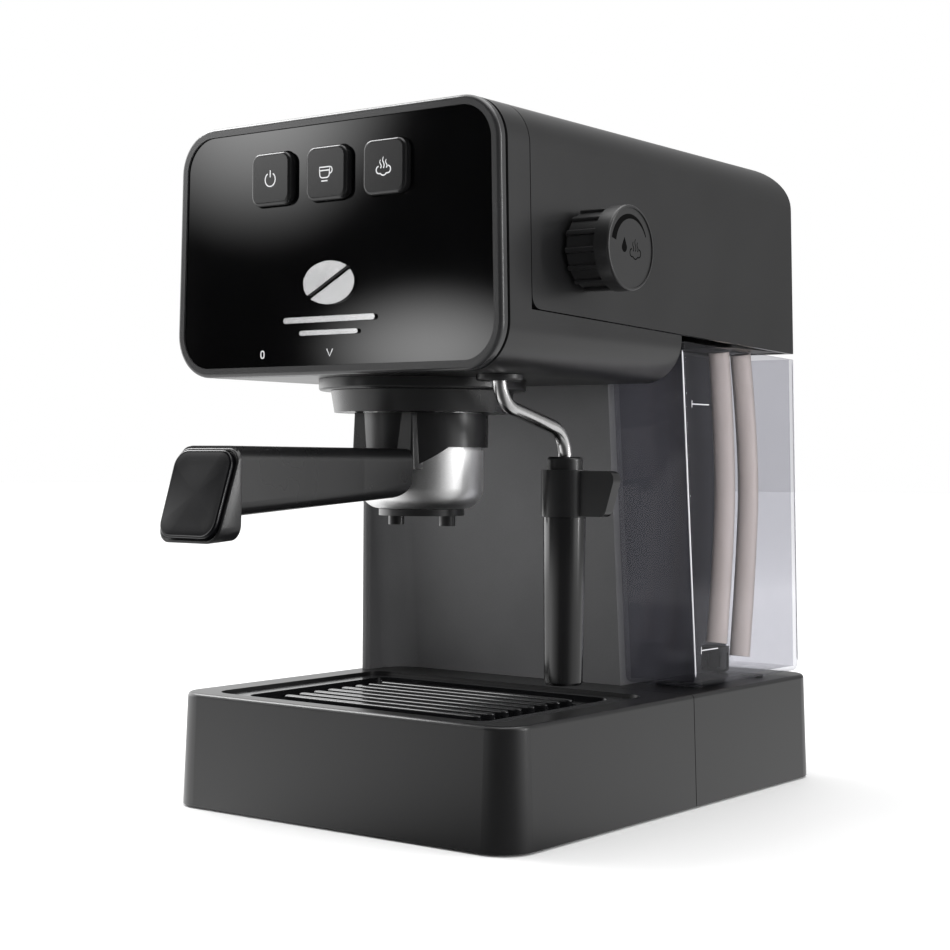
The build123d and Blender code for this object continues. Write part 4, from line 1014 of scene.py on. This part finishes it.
# ---- studio -------------------------------------------------------------------------------
@dataclass(frozen=True)
class Softbox:
    """A rectangular studio light."""

    name: str
    place: tuple[float, float, float]
    aim: tuple[float, float, float]
    size: Spot
    power: float
    in_gloss: bool = True

    def build(self) -> None:
        """Sets the light in its place, turned to its aim."""
        data = bpy.data.lights.new(self.name, "AREA")
        data.shape = "RECTANGLE"
        data.size, data.size_y = self.size
        data.energy = self.power
        thing = bpy.data.objects.new(self.name, data)
        thing.location = self.place
        thing.visible_camera = False
        thing.visible_glossy = self.in_gloss
        thing.rotation_euler = (Vector(self.aim) - Vector(self.place)).to_track_quat("-Z", "Y").to_euler()
        bpy.context.scene.collection.objects.link(thing)


@dataclass
class Studio:
    """Floor, lights, reflectors and camera."""

    lens: float = 70.86
    sensor: float = 36.0
    reach: float = 60.0
    stand: tuple[float, float, float] = (0.50428, -0.66941, 0.15278)
    azimuth: float = 36.96
    pitch: float = -0.36
    roll: float = 0.43
    floor_half: float = 9.0
    floor_glow_span: Spot = (0.35, 1.4)
    floor_greys: Spot = (0.65, 0.67)
    floor_mottle: float = 0.4
    floor_glow: float = 0.5
    ring_radius: float = 1.4
    ring_height: float = 1.7
    ring_sides: int = 96
    ring_foot: float = -0.002
    foot_fade: float = 0.025
    underfoot: Sequence[Spot] = (
        (-180, 1.2), (-132, 1.7), (-118, 1.2), (-100, 0.65), (-78, 0.12), (-53, 0.06), (-30, 0.12),
        (0, 0.7), (38, 0.9), (57, 0.95), (120, 1.0), (180, 1.2),
    )
    around: Sequence[Spot] = (
        (-180, 3.0), (-152, 2.8), (-141, 0.5), (-136, 0.02), (-85, 0.02), (-25, 0.02), (-10, 0.25),
        (8, 1.7), (30, 1.9), (42, 0.62), (60, 0.34), (110, 0.45), (150, 1.4), (180, 3.0),
    )
    glows: Sequence[tuple[float, float, float, float, float]] = (
        (-132.8, 0.585, 7.6, 0.21, 5.4),
        (-124.6, 0.280, 6.4, 0.085, 4.2),
    )
    lights: Sequence[Softbox] = (
        Softbox("softbox_top", (0.1, 0.15, 1.5), (0.0, 0.0, 0.1), (1.4, 1.4), 14.0),
        Softbox("softbox_edge", (-0.9, -0.13, 1.1), (0.0, 0.0, 0.1), (0.6, 0.6), 12.0),
        Softbox("softbox_left", (-1.5, -0.5, 0.8), (0.0, 0.0, 0.15), (0.9, 1.2), 14.0),
        Softbox("softbox_right", (1.5, 0.5, 0.7), (0.0, 0.0, 0.15), (0.7, 1.2), 6.0),
        Softbox("softbox_strip", (1.18, 0.55, 0.45), (0.0, 0.0, 0.15), (0.08, 0.8), 3.5),
        Softbox("softbox_fill", (1.24, -0.45, 0.35), (-0.06, 0.05, 0.13), (0.5, 0.5), 12.0, False),
    )

    def camera(self) -> None:
        """Sets the camera on its stand."""
        turn, tip, tilt = (math.radians(a) for a in (self.azimuth, self.pitch, self.roll))
        ahead = Vector((-math.sin(turn) * math.cos(tip), math.cos(turn) * math.cos(tip), math.sin(tip)))
        right = Vector((math.cos(turn), math.sin(turn), 0))
        above = right.cross(ahead)
        across = right * math.cos(tilt) + above * math.sin(tilt)
        upward = above * math.cos(tilt) - right * math.sin(tilt)
        data = bpy.data.cameras.new("camera")
        data.sensor_width = self.sensor
        data.lens = self.lens
        data.clip_end = self.reach
        thing = bpy.data.objects.new("camera", data)
        turned = Matrix((across, upward, -ahead)).transposed().to_4x4()
        thing.matrix_world = Matrix.Translation(self.stand) @ turned
        bpy.context.scene.collection.objects.link(thing)
        bpy.context.scene.camera = thing

    def floor(self) -> None:
        """Lays the pale floor, with a painted glow that grows with distance from the machine and
        brightens the far floor.
        """
        half = self.floor_half
        data = bpy.data.meshes.new("floor")
        corners = [(-half, -half, 0), (half, -half, 0), (half, half, 0), (-half, half, 0)]
        data.from_pydata(corners, [], [(0, 1, 2, 3)])
        shader = Shader("floor_paper")
        dark, light = self.floor_greys
        mottle = shader.noise(self.floor_mottle, 2.0)
        tint = shader.ramp(mottle, [(NOISE_LOW, (dark,) * 3), (NOISE_HIGH, (light,) * 3)])
        # painted light: the floor's glow grows from none near the machine to full strength far from it
        away = shader.make("ShaderNodeVectorMath", {"operation": "LENGTH"}, {0: shader.place()})
        near, far = self.floor_glow_span
        spread = (Wire(shader, away.outputs["Value"]) - near) * (1 / (far - near))
        far_glow = shader.ramp(spread, [(0.0, (0.0,) * 3), (1.0, (1.0,) * 3)])
        data.materials.append(
            shader.done(
                shader.surface(
                    {
                        "Base Color": tint,
                        "Roughness": 0.6,
                        "Specular IOR Level": 0.2,
                        "Emission Color": far_glow,
                        "Emission Strength": self.floor_glow,
                    }
                )
            )
        )
        thing = bpy.data.objects.new("floor", data)
        thing.visible_glossy = False
        bpy.context.scene.collection.objects.link(thing)

    def reflectors(self) -> None:
        """Stands a ring of soft lights and dark screens round the machine, seen only in its gloss."""
        radius, sides = self.ring_radius, self.ring_sides
        data = bpy.data.meshes.new("reflector_ring")
        points = []
        for index in range(sides):
            turn = math.tau * index / sides
            for height in (self.ring_foot, self.ring_height):
                points.append((radius * math.cos(turn), radius * math.sin(turn), height))
        faces = []
        for index in range(sides):
            low, after = 2 * index, 2 * ((index + 1) % sides)
            faces.append((low, low + 1, after + 1, after))
        faces.append(tuple(range(0, 2 * sides, 2)))
        data.from_pydata(points, [], faces)
        shader = Shader("reflector_ring")
        split = shader.make("ShaderNodeSeparateXYZ", {}, {0: shader.place()})
        x, y, z = (Wire(shader, split.outputs[axis]) for axis in range(3))
        angle = shader.make("ShaderNodeMath", {"operation": "ARCTAN2"}, {0: y, 1: x})
        turn = Wire(shader, angle.outputs[0])
        wall = self.level(shader, turn, self.around)
        paper = self.level(shader, turn, self.underfoot)
        rise = shader.unit(z * (1 / self.foot_fade))
        total = paper * (1 - rise) + wall * rise
        for middle, height, wide, high, power in self.glows:
            across = (turn - math.radians(middle)) * (1 / math.radians(wide))
            up = (z - height) * (1 / high)
            fall = 1 - (across * across + up * up)
            soft = shader.unit(fall)
            total = total + soft * soft * power
        light = shader.make("ShaderNodeEmission", {}, {"Color": total, "Strength": 1.0})
        data.materials.append(shader.done(Wire(shader, light.outputs[0])))
        thing = bpy.data.objects.new("reflector_ring", data)
        bpy.context.scene.collection.objects.link(thing)
        thing.visible_camera = False
        thing.visible_diffuse = False
        thing.visible_shadow = False
        thing.visible_transmission = False
        thing.visible_volume_scatter = False

    def level(self, shader: Shader, turn: Wire, table: Sequence[Spot]) -> Wire:
        """Brightness by direction.

        Args:
            shader: the material under construction.
            turn: the direction, in radians.
            table: directions in degrees, from -180 to 180, with their brightnesses.

        Returns:
            The brightness.
        """
        top = max(value for _, value in table)
        stops = [((angle + 180) / 360, (value / top,) * 3) for angle, value in table]
        colour = shader.ramp(turn * (0.5 / math.pi) + 0.5, stops)
        return Wire(shader, shader.make("ShaderNodeRGBToBW", {}, {0: colour}).outputs[0]) * top

    def sky(self) -> None:
        """Even white light all round."""
        world = bpy.data.worlds.new("soft_room")
        world.use_nodes = True
        background = world.node_tree.nodes["Background"]
        background.inputs["Color"].default_value = (1, 1, 1, 1)
        background.inputs["Strength"].default_value = 1.0
        bpy.context.scene.world = world

    def build(self) -> None:
        """Builds the whole studio."""
        self.camera()
        self.floor()
        self.reflectors()
        self.sky()
        for light in self.lights:
            light.build()
        bpy.context.scene.view_settings.view_transform = "Standard"


def main() -> None:
    """Builds the studio, dresses the frame and adds every piece."""
    logging.basicConfig(level=logging.INFO, format="%(name)s: %(message)s")
    Studio().build()
    finisher = Finisher()
    water = Water(finisher)
    water.build_hoses()
    LOG.info("%d nodes dressed", finisher.dress_nodes())
    Controls(finisher).build()
    HandleEnd(finisher).build()
    water.build_levels()
    water.build_corner_glints()


if __name__ == "__main__":
    main()
